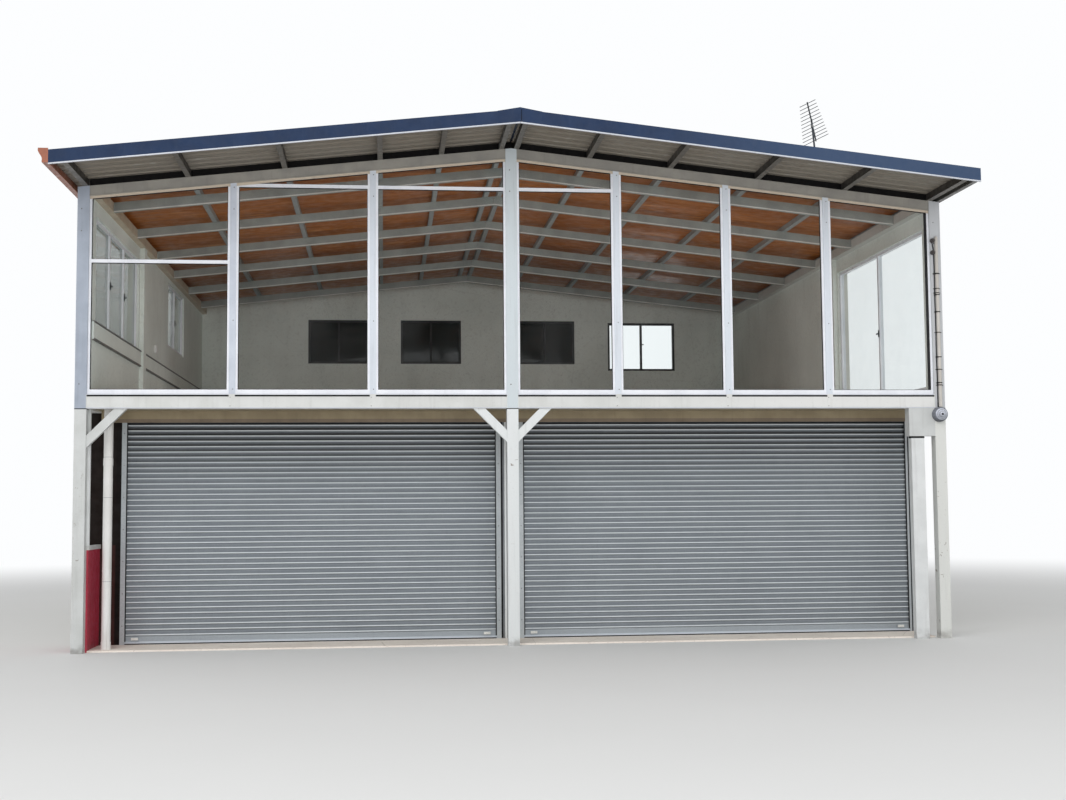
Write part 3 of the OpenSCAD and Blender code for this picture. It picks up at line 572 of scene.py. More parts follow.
@dataclass(frozen=True)
class Plastic:
    """Moulded or extruded plastic that has faded and gathered dust."""

    name: str
    colour: Colour
    faded: Colour
    dirt: Colour
    rough: tuple[float, float] = (0.3, 0.5)
    gloss: float = 0.5

    def make(self) -> bpy.types.Material:
        """Makes the finish.

        Returns:
            The finished material.
        """
        s = Shading(self.name)
        tone = s.mix(s.ramp(s.noise(2.6, 4.0), 0.3, 0.7), self.colour, self.faded)
        runs = s.ramp(s.noise(4.0, 5.0, (5.0, 5.0, 0.4)), 0.52, 0.82, 0.0, 0.4)
        tone = s.mix(runs, tone, self.dirt)
        tone = s.mix(s.ramp(s.noise(75.0, 3.0), 0.6, 0.75, 0.0, 0.25), tone, self.dirt)
        s.colour(tone)
        s.rough(s.ramp(s.noise(20.0, 4.0), 0.3, 0.7, *self.rough))
        s.relief(s.noise(160.0, 2.0), 0.0002, 0.4)
        s.shader.inputs["Specular IOR Level"].default_value = self.gloss
        return s.material


@dataclass(frozen=True)
class Drum:
    """Cast grey drum with painted light and shade: a face painted pale as lit and darker lower down, a dull
    ribbed body, and painted shade in the grooves and on the underside.
    """

    name: str
    face: Colour
    shaded_face: Colour
    body: Colour
    groove_shade: Colour
    grooves: tuple[tuple[float, float], ...] = ((-0.0875, -0.0995), (-0.117, -0.128))
    plate_edge: tuple[float, float] = (-0.149, -0.153)
    boss_side: tuple[float, float] = (-0.169, -0.182)
    face_shade_fade: tuple[float, float] = (2.78, 2.85)

    def make(self) -> bpy.types.Material:
        """Makes the finish.

        Returns:
            The finished material.
        """
        s = Shading(self.name)
        worn = s.ramp(s.noise(30.0, 4.0), 0.35, 0.7, 0.0, 0.3)
        tone = s.mix(worn, self.body, self.groove_shade)
        # Painted shade in the grooves between the ribs.
        for back, front in self.grooves:
            slot = s.times(s.ramp(s.y, back, back - 0.0015), s.ramp(s.y, front - 0.0015, front))
            tone = s.mix(slot, tone, self.groove_shade)
        # Painted shade on the faces turned down.
        under = s.ramp(s.split(s.facing)[2], -0.15, -0.75, 0.0, 0.85)
        tone = s.mix(under, tone, self.groove_shade)
        # The face plate is painted pale as lit, and darker towards its foot as painted shade.
        plate = s.mix(s.ramp(s.z, *self.face_shade_fade), self.shaded_face, self.face)
        tone = s.mix(s.ramp(s.y, *self.plate_edge), tone, s.mix(worn, plate, self.body))
        # The boss's side keeps much of the body's darker tone, as painted shade beside the lit face.
        back, front = self.boss_side
        side = s.times(s.ramp(s.y, back, back - 0.0015), s.ramp(s.y, front, front + 0.0015))
        tone = s.mix(s.times(side, 0.7), tone, self.body)
        s.colour(tone)
        s.rough(s.ramp(s.noise(20.0, 4.0), 0.3, 0.7, 0.4, 0.6))
        s.relief(s.noise(160.0, 2.0), 0.0002, 0.4)
        return s.material


@dataclass(frozen=True)
class Pane:
    """Window glass: clear, with a sheen at a glance, smears and a thin film of dust.

    The rear windows have drawn blinds up to the last one on the right, and the left windows are painted pale
    and mostly opaque as a painted reflection.
    """

    name: str
    tint: Colour
    dust: Colour
    film: tuple[float, float] = (0.0, 0.012)
    blind: Colour | None = None
    glancing_reflection: Colour | None = None
    rear_from: float = 10.0
    blind_end: tuple[float, float] = (2.75, 2.7)
    left_from: float = -5.0
    glancing_reflection_fade: tuple[float, float] = (3.9, 5.2)

    def make(self) -> bpy.types.Material:
        """Makes the finish.

        Returns:
            The finished material.
        """
        s = Shading(self.name)
        clear = s.node("ShaderNodeBsdfTransparent")
        clear.inputs[0].default_value = (*self.tint, 1.0)
        sheen = s.node("ShaderNodeLayerWeight")
        sheen.inputs["Blend"].default_value = 0.5
        glance = s.times(s.math("POWER", sheen.outputs["Facing"], 4.0), 0.5)
        smears = s.ramp(s.noise(1.3, 5.0, (1.0, 1.0, 0.5)), 0.35, 0.8, *self.film)
        share = s.math("ADD", glance, smears)
        tone = s.mix(s.ramp(s.noise(5.0, 3.0), 0.3, 0.7), self.dust, self.tint)
        if self.blind is not None:
            drawn = s.times(s.ramp(s.y, self.rear_from, self.rear_from + 0.01), s.ramp(s.x, *self.blind_end))
            share = s.math("MAXIMUM", share, drawn)
            folds = s.ramp(s.noise(6.0, 3.0, (1.0, 1.0, 0.3)), 0.3, 0.7, 0.0, 0.5)
            tone = s.mix(drawn, tone, s.mix(folds, self.blind, tuple(0.6 * part for part in self.blind)))
        # The left windows are painted pale and mostly opaque: a painted reflection of their glancing view.
        if self.glancing_reflection is not None:
            left = s.ramp(s.x, self.left_from, self.left_from - 0.05)
            share = s.math("MAXIMUM", share, s.times(left, s.ramp(s.z, *self.glancing_reflection_fade, 0.62, 0.5)))
            tone = s.mix(left, tone, self.glancing_reflection)
        s.colour(tone)
        s.rough(s.ramp(s.noise(3.0, 3.0), 0.3, 0.7, 0.03, 0.09))
        join = s.node("ShaderNodeMixShader")
        s.link(share, join.inputs[0])
        s.link(clear.outputs[0], join.inputs[1])
        s.link(s.shader.outputs[0], join.inputs[2])
        s.link(join.outputs[0], s.output.inputs["Surface"])
        return s.material


class Mesher:
    """Gathers many small closed forms into one mesh."""

    def __init__(self, name: str) -> None:
        """Starts an empty mesh.

        Args:
            name: Name of the piece.
        """
        self.name = name
        self.points: list[Vector] = []
        self.faces: list[list[int]] = []

    def add(self, points: Sequence[Vector], faces: Sequence[Sequence[int]]) -> None:
        """Appends a form.

        Args:
            points: Its points.
            faces: Its faces, as indices into those points.
        """
        start = len(self.points)
        self.points.extend(points)
        self.faces.extend([start + index for index in face] for face in faces)

    def rings(self, rings: Sequence[Sequence[Vector]], closed: bool = False) -> None:
        """Skins rings of equal length, with a cap at each end unless they close on themselves.

        Args:
            rings: The rings, in order.
            closed: Joins the last ring to the first.
        """
        count = len(rings[0])
        points = [point for ring in rings for point in ring]
        faces: list[list[int]] = []
        steps = len(rings) if closed else len(rings) - 1
        for step in range(steps):
            here, there = step * count, (step + 1) % len(rings) * count
            for i in range(count):
                j = (i + 1) % count
                faces.append([here + i, here + j, there + j, there + i])
        if not closed:
            faces.append(list(reversed(range(count))))
            last = (len(rings) - 1) * count
            faces.append(list(range(last, last + count)))
        self.add(points, faces)

    def bar(self, low: Point, high: Point, edge: float = 0.002) -> None:
        """Adds a block whose long edges are eased.

        Args:
            low: Lowest corner.
            high: Highest corner.
            edge: Width of the eased edge.
        """
        sizes = [high[i] - low[i] for i in range(3)]
        run = sizes.index(max(sizes))
        a, b = [i for i in range(3) if i != run]
        edge = min(edge, sizes[a] * 0.3, sizes[b] * 0.3)
        (left, right), (foot, top) = (low[a], high[a]), (low[b], high[b])
        outline = [
            (left + edge, foot), (right - edge, foot), (right, foot + edge), (right, top - edge),
            (right - edge, top), (left + edge, top), (left, top - edge), (left, foot + edge),
        ]
        middle = ((left + right) / 2, (foot + top) / 2)
        rings: list[list[Vector]] = []
        start, end = low[run], high[run]
        for along, inset in ((start, edge), (start + edge, 0.0), (end - edge, 0.0), (end, edge)):
            ring: list[Vector] = []
            for u, v in outline:
                point = Vector((0.0, 0.0, 0.0))
                point[run] = along
                point[a] = u + (inset if u < middle[0] else -inset)
                point[b] = v + (inset if v < middle[1] else -inset)
                ring.append(point)
            rings.append(ring)
        self.rings(rings)

    def turned(
        self, centre: Point, way: Way | Vector, profile: Sequence[tuple[float, float]], sides: int = 10
    ) -> None:
        """Adds a turned form, such as a screw's head or a collar.

        Args:
            centre: Foot of the axis.
            way: Direction of the axis.
            profile: Radius and height of each ring, from the foot.
            sides: Number of sides.
        """
        axis = Vector(way.value) if isinstance(way, Way) else way
        side = Vector((0.0, 0.0, 1.0)) if abs(axis.z) < 0.5 else Vector((1.0, 0.0, 0.0))
        other = axis.cross(side)
        rings = []
        for radius, height in profile:
            rings.append([
                Vector(centre) + axis * height + (side * math.cos(t) + other * math.sin(t)) * radius
                for t in (math.tau * i / sides for i in range(sides))
            ])
        self.rings(rings)

    def screw(self, centre: Point, way: Way, radius: float, height: float) -> None:
        """Adds a domed screw head on a washer.

        Args:
            centre: Where it is driven in.
            way: Direction that it faces.
            radius: Radius of its head.
            height: Height of its head.
        """
        self.turned(centre, way, [
            (radius * 1.35, -0.001), (radius * 1.35, height * 0.3), (radius, height * 0.35),
            (radius * 0.85, height * 0.8), (radius * 0.45, height),
        ])

    def pipe(self, path: Sequence[Point], radius: float, sides: int = 8) -> None:
        """Adds a round rod along a path.

        Args:
            path: Points that it follows.
            radius: Radius of the rod.
            sides: Number of sides.
        """
        points = [Vector(point) for point in path]
        rings = []
        up = Vector((0.0, 0.0, 1.0))
        for i, point in enumerate(points):
            ahead = (points[min(i + 1, len(points) - 1)] - points[max(i - 1, 0)]).normalized()
            side = ahead.cross(up if abs(ahead.z) < 0.9 else Vector((1.0, 0.0, 0.0))).normalized()
            other = ahead.cross(side)
            rings.append([
                point + (side * math.cos(t) + other * math.sin(t)) * radius
                for t in (math.tau * k / sides for k in range(sides))
            ])
        self.rings(rings)

    def place(self, material: bpy.types.Material, slot: str, smooth: bool = False) -> None:
        """Turns the gathered forms into a piece that rides on the building.

        Args:
            material: Its finish.
            slot: Not used.
            smooth: Shades it smoothly up to sharp edges.
        """
        mesh = bpy.data.meshes.new(self.name)
        mesh.from_pydata([tuple(point) for point in self.points], [], self.faces)
        mesh.validate()
        work = bmesh.new()
        work.from_mesh(mesh)
        bmesh.ops.recalc_face_normals(work, faces=work.faces)
        work.to_mesh(mesh)
        work.free()
        piece = bpy.data.objects.new(self.name, mesh)
        bpy.context.scene.collection.objects.link(piece)
        mesh.materials.append(material)
        if smooth:
            mesh.set_sharp_from_angle(angle=math.radians(40.0))
            for polygon in mesh.polygons:
                polygon.use_smooth = True
        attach(piece, "root")
        log.info("%s: %d faces", self.name, len(self.faces))


class Palette:
    """Every finish of the building, each made once and shared."""

    def __init__(self) -> None:
        """Lists the finishes."""
        self.finishes = self.paints() | self.metals() | self.coats() | self.plastics() | self.glazing()
        self.made: dict[str, bpy.types.Material] = {}

    def __getitem__(self, key: str) -> bpy.types.Material:
        """Makes a finish the first time that it is asked for.

        Args:
            key: Name of the finish.

        Returns:
            Its material.
        """
        if key not in self.made:
            self.made[key] = self.finishes[key].make()
        return self.made[key]

    def paints(self) -> dict[str, Paint]:
        """Returns the painted steel, inside and out."""
        return {
            "post": Paint("post_coat", srgb(207, 209, 208), srgb(197, 199, 197), chips=0.8, foot=0.14,
                          streaks=0.15, centre=srgb(222, 225, 225), right=srgb(217, 218, 214)),
            # The jamb is painted a dark grey, as painted shade in the recess between the guides.
            "jamb": Paint("jamb_shade_coat", srgb(126, 130, 133), srgb(112, 116, 120), streaks=0.2, foot=0.3),
            "beam": Paint("beam_coat", srgb(216, 217, 215), srgb(206, 207, 204), streaks=0.14,
                          right=srgb(223, 223, 221)),
            "pier": Paint("pier_coat", srgb(224, 226, 226), srgb(214, 216, 216), streaks=0.15, foot=0.16,
                          rough=(0.5, 0.75), above=(2.548, srgb(204, 206, 205), srgb(195, 197, 196))),
            "upper_post": Paint("upper_post_coat", srgb(168, 176, 189), srgb(156, 164, 177), streaks=0.2,
                                centre=srgb(204, 212, 216), right=srgb(192, 194, 197)),
            "mullion": Paint("mullion_coat", srgb(205, 211, 222), srgb(193, 199, 211), streaks=0.2,
                             centre=srgb(216, 222, 230)),
            "frame": Paint("frame_coat", srgb(162, 158, 150), srgb(146, 143, 137), streaks=0.2),
            # Purlin sides outside are painted near-black as shade, their undersides lighter as painted light
            # from below, and their indoor parts lighter as painted light behind the glass.
            "purlin": Paint("purlin_coat", srgb(56, 53, 50), srgb(48, 45, 42), streaks=0.2,
                            indoor_light=srgb(154, 160, 160), under=srgb(104, 101, 96)),
            "rafter": Paint("rafter_coat", srgb(164, 170, 166), srgb(148, 154, 150), streaks=0.2),
            "eave": Paint("eave_coat", srgb(206, 192, 170), srgb(192, 179, 158), streaks=0.2,
                          right=srgb(204, 206, 202)),
            "navy": Paint("navy_coat", srgb(16, 42, 76), srgb(14, 37, 68), dirt=srgb(86, 94, 108),
                          streaks=0.1, right=srgb(48, 68, 98)),
            "trim": Paint("trim_coat", srgb(206, 209, 216), srgb(196, 199, 206), streaks=0.12),
            # A pale coat for the rafter lips and the lock covers: painted highlight.
            "lit_edge": Paint("edge_highlight_coat", srgb(232, 232, 228), srgb(220, 220, 216), streaks=0.1),
            "screen": Paint("screen_coat", srgb(188, 56, 78), srgb(178, 52, 72), dirt=srgb(120, 44, 56),
                            streaks=0.12, foot=0.2),
            "lining": Paint("lining_coat", srgb(138, 123, 105), srgb(124, 110, 94), dirt=srgb(84, 72, 56),
                            streaks=0.2, above=(2.828, srgb(164, 150, 122), srgb(148, 134, 108))),
            "white_frame": Paint("white_frame_coat", srgb(240, 242, 247), srgb(230, 232, 238), streaks=0.08,
                                 rough=(0.25, 0.4), head=srgb(206, 192, 174)),
            "nosing": Paint("nosing_coat", srgb(214, 217, 222), srgb(202, 206, 212), streaks=0.1,
                            rough=(0.25, 0.4)),
            "trunking": Paint("trunking_coat", srgb(112, 112, 110), srgb(98, 98, 97), streaks=0.2),
            "dark_frame": Paint("dark_frame_coat", srgb(58, 60, 62), srgb(46, 48, 50), dirt=srgb(98, 96, 92),
                                streaks=0.2),
        }

    def metals(self) -> dict[str, Zinc]:
        """Returns the galvanised and bare metals."""
        return {
            "mast": Zinc("mast_zinc", srgb(52, 58, 66), srgb(40, 44, 50), srgb(82, 88, 96), 0.5),
            "shutter": Zinc("shutter_zinc_coat", srgb(150, 157, 163), srgb(132, 139, 146),
                            srgb(162, 169, 174), 0.3, (0.4, 0.55), dents=0.004, slats=(0.122, 0.067)),
            "guide": Zinc("guide_zinc_coat", srgb(178, 184, 187), srgb(152, 158, 162), srgb(196, 200, 203),
                          0.25),
            "aluminium": Zinc("bare_aluminium", srgb(150, 152, 155), srgb(116, 118, 122),
                              srgb(176, 178, 180), 0.8),
            # The sheets' undersides take a darker warm grey: painted shade under the roof.
            "roof": Zinc("roof_zinc_coat", srgb(168, 166, 160), srgb(136, 132, 126), srgb(190, 188, 182),
                         0.25, (0.45, 0.65), under=srgb(138, 130, 118)),
            "fastener": Zinc("fastener_zinc", srgb(120, 120, 120), srgb(84, 80, 76), srgb(150, 150, 150),
                             0.7),
        }

    def coats(self) -> dict[str, Render | Wall]:
        """Returns the plaster and concrete of walls, floors and sills."""
        room = Render("room_plaster", srgb(240, 246, 240), srgb(226, 232, 226), srgb(166, 168, 162),
                      damp=0.2, cracks=0.25)
        weather = Render("weather_plaster", srgb(218, 216, 208), srgb(205, 203, 195), srgb(150, 146, 138),
                         damp=0.3, cracks=0.0)
        shop = Render("shop_plaster", srgb(170, 160, 144), srgb(142, 130, 114), srgb(86, 76, 66),
                      damp=0.6)
        return {
            "step": Render("step_concrete", srgb(244, 236, 226), srgb(232, 222, 212), srgb(168, 158, 148),
                           damp=0.2),
            "concrete": Render("floor_concrete", srgb(206, 200, 190), srgb(186, 180, 170),
                               srgb(126, 118, 108), damp=0.25),
            "left_ground": Wall("left_ground_coat", shop, weather, -5.18, dado=srgb(64, 38, 36)),
            "right_ground": Wall("right_ground_coat", shop, weather, 5.455, right=True),
            "rear_ground": Wall("rear_ground_coat", shop, weather, 10.60, rear=True),
            "left_upper": Wall("left_upper_coat", room, weather, -5.18),
            "right_upper": Wall("right_upper_coat", room, weather, 5.455, right=True),
            "rear_upper": Wall("rear_upper_coat", room, weather, 10.60, rear=True),
        }

    def plastics(self) -> dict[str, Plastic | Timber | Drum]:
        """Returns the pipes, gutters and seals, the varnished boards and the round meter."""
        return {
            "boards": Timber("board_varnish", srgb(190, 114, 43), srgb(145, 79, 27), srgb(222, 156, 88)),
            "pipe": Plastic("pipe_white", srgb(234, 233, 232), srgb(222, 221, 218), srgb(160, 150, 138)),
            "brown": Plastic("gutter_brown", srgb(158, 98, 76), srgb(140, 86, 68), srgb(96, 72, 62)),
            "dark_gutter": Plastic("gutter_dark", srgb(84, 82, 78), srgb(72, 70, 66), srgb(104, 100, 94)),
            "grey": Plastic("gutter_grey", srgb(176, 178, 180), srgb(158, 160, 162), srgb(108, 106, 102)),
            "meter": Drum("meter_cast", srgb(214, 218, 230), srgb(168, 172, 182), srgb(122, 126, 134),
                          srgb(44, 46, 50)),
            "cream": Plastic("conduit_cream", srgb(206, 202, 196), srgb(192, 187, 180), srgb(128, 122, 112)),
            "glaze": Plastic("spool_glaze", srgb(60, 50, 48), srgb(48, 42, 42), srgb(92, 84, 78),
                             rough=(0.2, 0.4), gloss=0.6),
            "rubber": Plastic("seal_rubber", srgb(38, 38, 40), srgb(30, 30, 32), srgb(76, 72, 70),
                              rough=(0.6, 0.8), gloss=0.3),
            # Near-black: used for dark foam and joints, and as painted shadow in gaps.
            "shadow": Plastic("foam_and_painted_shadow", srgb(22, 21, 21), srgb(16, 15, 15), srgb(44, 40, 38),
                              rough=(0.8, 0.95), gloss=0.2),
        }

    def glazing(self) -> dict[str, Pane]:
        """Returns the front glass and the glass of the other windows."""
        return {
            "glass": Pane("clear_pane", (0.985, 0.99, 0.99), srgb(206, 212, 214)),
            "dark_glass": Pane("window_pane", (0.96, 0.98, 0.98), srgb(190, 198, 200), blind=srgb(44, 50, 50),
                               glancing_reflection=srgb(150, 160, 150)),
        }


@dataclass
class Building:
    """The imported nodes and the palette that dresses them."""

    nodes: dict[str, bpy.types.Object]
    palette: Palette


@dataclass
class Assembly:
    """A group of pieces that belong together on the building."""

    building: Building

    def dress(self, finish: str, *names: str) -> None:
        """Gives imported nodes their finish.

        Args:
            finish: Key in the palette.
            names: The nodes.
        """
        for name in names:
            mesh = self.building.nodes[name].data
            mesh.materials.clear()
            mesh.materials.append(self.building.palette[finish])
            log.info("dressed %s with %s", name, finish)

    def fix(self, mesh: Mesher, finish: str, slot: str, smooth: bool = False) -> None:
        """Fixes gathered forms to the building, in a finish from the palette."""
        mesh.place(self.building.palette[finish], slot, smooth)


@dataclass
class SteelFrame(Assembly):
    """Posts, braces, beams and mullions, with their plates, welds and screws."""

    posts: tuple[float, ...] = (-5.19, 0.0, 5.465)
    mullions: tuple[float, ...] = (-3.41, -1.715, 1.325, 2.73, 4.03)
    spans: tuple[tuple[float, float], ...] = ((-5.12, -0.07), (0.07, 5.395))
    braces: tuple[tuple[float, int], ...] = ((-5.12, 1), (-0.07, -1), (0.07, 1))
    brace_drops: tuple[float, float] = (0.415, 0.525)
    room: tuple[float, float] = (-5.02, 5.295)
    front: float = -0.07
    mullion_front: float = -0.06
    beam_low: float = 2.905
    beam_top: float = 3.08
    head_depth: float = 0.21
    rafters: int = 6
    first_rafter: float = 0.93
    rafter_step: float = 1.75
    purlin_half: float = 0.031
    screen_top: float = 1.265
    strip_box: tuple[Point, Point] = ((-0.038, 0.774, 0.02), (-0.014, 0.7805, 2.925))
    pillar_sides: tuple[float, float] = (5.0755, 5.2485)
    pillar_joint: tuple[float, float] = (2.522, 2.547)

    def head(self, x: float) -> float:
        """Returns the underside height of the raking head beam at x."""
        return roof_line(x, -self.head_depth)

    def raked(
        self, mesh: Mesher, ends: tuple[float, float], depth: tuple[float, float], rise: tuple[float, float]
    ) -> None:
        """Adds a bar that follows the roof's slope, in two parts where it crosses the ridge.

        Args:
            mesh: What gathers it.
            ends: Left and right end.
            depth: Front and back.
            rise: Foot and top, from the roof line.
        """
        low, high = ends
        for left, right in ((low, 0.0), (0.0, high)) if low < 0.0 < high else (ends,):
            mesh.rings([[
                Vector((x, y, roof_line(x, off)))
                for x, off in ((left, rise[0]), (right, rise[0]), (right, rise[1]), (left, rise[1]))
            ] for y in depth])

    def rafter_lips(self) -> None:
        """Adds the rolled lip along the foot of each rafter, painted pale as a highlight."""
        lips = Mesher("rafter_lips")
        for i in range(self.rafters):
            y = self.first_rafter + self.rafter_step * i
            self.raked(lips, self.room, (y - 0.004, y + 0.001), (-0.2105, -0.196))
        self.fix(lips, "lit_edge", "frame_steel")

    def jamb_strip(self) -> None:
        """Stands the pale cover strip on the jamb between the shutters."""
        strip = Mesher("jamb_strip")
        strip.bar(*self.strip_box, 0.002)
        self.fix(strip, "post", "beam_paint")

    def plates(self) -> None:
        """Covers the beam's joints under the mullions with thin plates."""
        plates = Mesher("beam_plates")
        for x in self.mullions:
            low = (x - 0.036, self.front - 0.003, self.beam_low + 0.002)
            plates.bar(low, (x + 0.036, self.front + 0.001, self.beam_top - 0.012), 0.001)
        self.fix(plates, "beam", "beam_paint")

    def lips(self) -> None:
        """Adds the rolled lip along the foot of the edge beam."""
        lips = Mesher("beam_lips")
        for left, right in self.spans:
            high = (right, self.front + 0.002, self.beam_low + 0.014)
            lips.bar((left, self.front - 0.004, self.beam_low), high, 0.003)
        self.fix(lips, "trim", "beam_paint", True)

    def screws(self) -> None:
        """Sets the small screws near the tops and feet of posts and mullions."""
        screws = Mesher("frame_screws")
        for x in self.mullions:
            top = self.head(x)
            for z in (top - 0.05, top - 0.32, self.beam_top + 0.06, self.beam_top + 0.9):
                screws.screw((x + 0.008, self.mullion_front, z), Way.FRONT, 0.005, 0.003)
            for z in (self.beam_low + 0.03, self.beam_top - 0.04):
                screws.screw((x - 0.02, self.front - 0.003, z), Way.FRONT, 0.004, 0.002)
        for x in self.posts:
            for z in (self.beam_top + 0.12, self.head(x) - 0.15, self.head(x) - 0.42):
                screws.screw((x - 0.02, self.front, z), Way.FRONT, 0.006, 0.003)
        self.fix(screws, "fastener", "guide_metal", True)

    def welds(self) -> None:
        """Runs weld beads where braces and beams meet the posts."""
        welds = Mesher("frame_welds")
        chance = random.Random(11)
        for x, side in self.braces:
            for z in (self.beam_low - drop for drop in self.brace_drops):
                across = (-0.052, -0.03, 0.0, 0.02)
                bead = [(x + side * 0.003, y, z + chance.uniform(-0.002, 0.002)) for y in across]
                welds.pipe(bead, 0.005, 6)
        for left, right in self.spans:
            for x in (left - 0.002, right + 0.002):
                heights = [self.beam_low + share * 0.17 for share in (0.02, 0.25, 0.5, 0.75, 0.98)]
                welds.pipe([(x, self.front - 0.001, z) for z in heights], 0.004, 6)
        self.fix(welds, "post", "post_paint", True)

    def shadow_seams(self) -> None:
        """Runs dark lines round the posts under the beam and round the pillar's head, as painted shadow in
        the gaps there.
        """
        shadow_seams = Mesher("frame_shadow_seams")
        reach = 0.0015 - self.front
        for x in self.posts:
            low = (x - reach, -reach, self.beam_low - 0.008)
            shadow_seams.bar(low, (x + reach, reach, self.beam_low + 0.002), 0.0005)
        (left, right), (foot, top) = self.pillar_sides, self.pillar_joint
        shadow_seams.bar((left, -reach, foot), (right, 0.0215, top), 0.001)
        self.fix(shadow_seams, "shadow", "post_paint")

    def angle(self) -> None:
        """Stands a slim painted angle behind the left end post, above the screen."""
        angle = Mesher("post_angle")
        angle.bar((-5.124, 0.052, self.screen_top), (-5.088, 0.062, self.beam_low), 0.001)
        angle.bar((-5.094, 0.062, self.screen_top), (-5.088, 0.092, self.beam_low), 0.001)
        self.fix(angle, "pier", "post_paint")

    def closures(self) -> None:
        """Closes the gap between head beams and sheets, between the purlins, with near-black foam that also
        serves as painted shadow in that shaded gap.
        """
        shadow_foam = Mesher("eave_shadow_closures")
        for left, right in zip(PURLINS, PURLINS[1:]):
            ends = (max(left + self.purlin_half, self.spans[0][0]), right - self.purlin_half)
            self.raked(shadow_foam, ends, (-0.05, -0.02), (-0.085, -0.001))
        self.fix(shadow_foam, "shadow", "frame_steel")

    def build(self) -> None:
        """Dresses the frame and adds its small pieces."""
        self.dress("post", "lower_posts", "knee_braces")
        self.dress("pier", "corner_pier")
        self.dress("beam", "edge_beams")
        self.dress("jamb", "centre_jamb")
        self.dress("upper_post", "upper_posts")
        self.dress("mullion", "mullions")
        self.dress("frame", "head_beams")
        self.dress("rafter", "rafters")
        self.dress("eave", "eave_beams")
        self.dress("purlin", "purlins")
        self.plates()
        self.lips()
        self.screws()
        self.welds()
        self.shadow_seams()
        self.angle()
        self.rafter_lips()
        self.jamb_strip()
        self.closures()


@dataclass
class Shopfront(Assembly):
    """The two roller shutters, their guides, the porch lining and the downpipe."""

    openings: tuple[tuple[float, float], ...] = ((-4.79, -0.145), (0.206, 5.315))
    lock_marks: tuple[float, ...] = (-4.665, -0.27, 0.331, 5.19)
    guide_marks: tuple[float, ...] = (-4.82, -0.115, 0.176, 5.345)
    foot_front: float = 0.786
    lock_front: float = 0.780
    guide_front: float = 0.780
    guide_top: float = 2.79
    slab: float = 0.02
    pipe: tuple[float, float] = (-4.91, 0.23)
    pipe_radius: float = 0.0545
    clip_marks: tuple[float, ...] = (0.95, 2.05)
    joint_marks: tuple[float, ...] = (0.83, 1.84, 2.33)

    def seals(self) -> None:
        """Lays the rubber seals under the shutters and the brushes beside them, which also darken the shadow
        lines there, plus painted shadow strips in the jamb's recess and down the right guide's outer edge.
        """
        seals = Mesher("shutter_seals_and_shadows")
        for low, high in self.openings:
            end = (high - 0.002, self.foot_front + 0.002, self.slab + 0.014)
            seals.bar((low + 0.002, self.foot_front - 0.004, self.slab), end, 0.002)
            for left in (low, high - 0.013):
                seals.bar((left, 0.7812, self.slab + 0.036), (left + 0.013, 0.7925, self.guide_top), 0.001)
        # A dark strip in the jamb's recess: painted shadow.
        seals.bar((-0.0845, 0.8085, self.slab), (-0.0605, 0.8105, self.guide_top), 0.0005)
        # A dark line down the right guide's outer edge: painted shadow.
        front = self.guide_front
        high = (5.358, front + 0.0015, self.guide_top - 0.005)
        seals.bar((5.342, front - 0.0015, self.slab), high, 0.001)
        self.fix(seals, "rubber", "shutter_zinc")

    def locks(self) -> None:
        """Adds the cylinder and the rivets to each lock's cover, all painted pale as a highlight."""
        locks = Mesher("shutter_locks")
        front, z = self.lock_front, self.slab + 0.069
        cylinder = [(0.012, -0.001), (0.012, 0.003), (0.010, 0.006), (0.004, 0.006)]
        for x in self.lock_marks:
            locks.bar((x - 0.043, front - 0.002, z - 0.016), (x + 0.043, front + 0.001, z + 0.016), 0.0015)
            locks.turned((x, front, z), Way.FRONT, cylinder, 14)
            for step in (-0.034, 0.034):
                locks.screw((x + step, front, z), Way.FRONT, 0.004, 0.002)
        self.fix(locks, "lit_edge", "guide_metal", True)

    def guide_screws(self) -> None:
        """Sets the screws that hold the guides, one row to each."""
        screws = Mesher("guide_screws")
        for x in self.guide_marks:
            for i in range(7):
                screws.screw((x, self.guide_front, 0.25 + i * 0.4), Way.FRONT, 0.005, 0.003)
        self.fix(screws, "fastener", "guide_metal", True)

    def collar(self, mesh: Mesher, foot: float, stand: float, height: float) -> None:
        """Adds a thin band round the downpipe.

        Args:
            mesh: What gathers it.
            foot: Height of its foot.
            stand: How far it stands off the pipe.
            height: Its own height.
        """
        inner, outer = self.pipe_radius, self.pipe_radius + stand
        profile = [(inner, 0.0), (outer, 0.001), (outer, height - 0.001), (inner, height)]
        mesh.turned((*self.pipe, foot), Way.UP, profile, 24)

    def pipe_clips(self) -> None:
        """Clips the downpipe with two narrow bands and marks its three joints."""
        clips, joints = Mesher("pipe_clips"), Mesher("pipe_joints")
        for z in self.clip_marks:
            self.collar(clips, z, 0.0027, 0.018)
            clips.bar((-4.925, 0.284, z + 0.001), (-4.895, 0.300, z + 0.017), 0.001)
        for z in self.joint_marks:
            self.collar(joints, z, 0.0013, 0.006)
        self.fix(clips, "pipe", "pipe_plastic", True)
        self.fix(joints, "grey", "pipe_plastic", True)

    def build(self) -> None:
        """Dresses the shopfront and adds its small pieces."""
        self.seals()
        self.locks()
        self.guide_screws()
        self.pipe_clips()
        self.dress("shutter", "left_shutter", "right_shutter", "shutter_coils")
        self.dress("guide", "shutter_guides")
        self.dress("lining", "porch_ceiling", "shutter_lintel")
        self.dress("step", "ground_slab")
        self.dress("concrete", "upper_floor")
        self.dress("screen", "side_screen")
        self.dress("beam", "screen_cap")
        self.dress("pipe", "downpipe")


@dataclass
class Masonry(Assembly):
    """The walls of both storeys."""

    def build(self) -> None:
        """Dresses the walls."""
        for side in ("left", "right", "rear"):
            self.dress(f"{side}_ground", f"{side}_ground_wall")
            self.dress(f"{side}_upper", f"{side}_upper_wall")


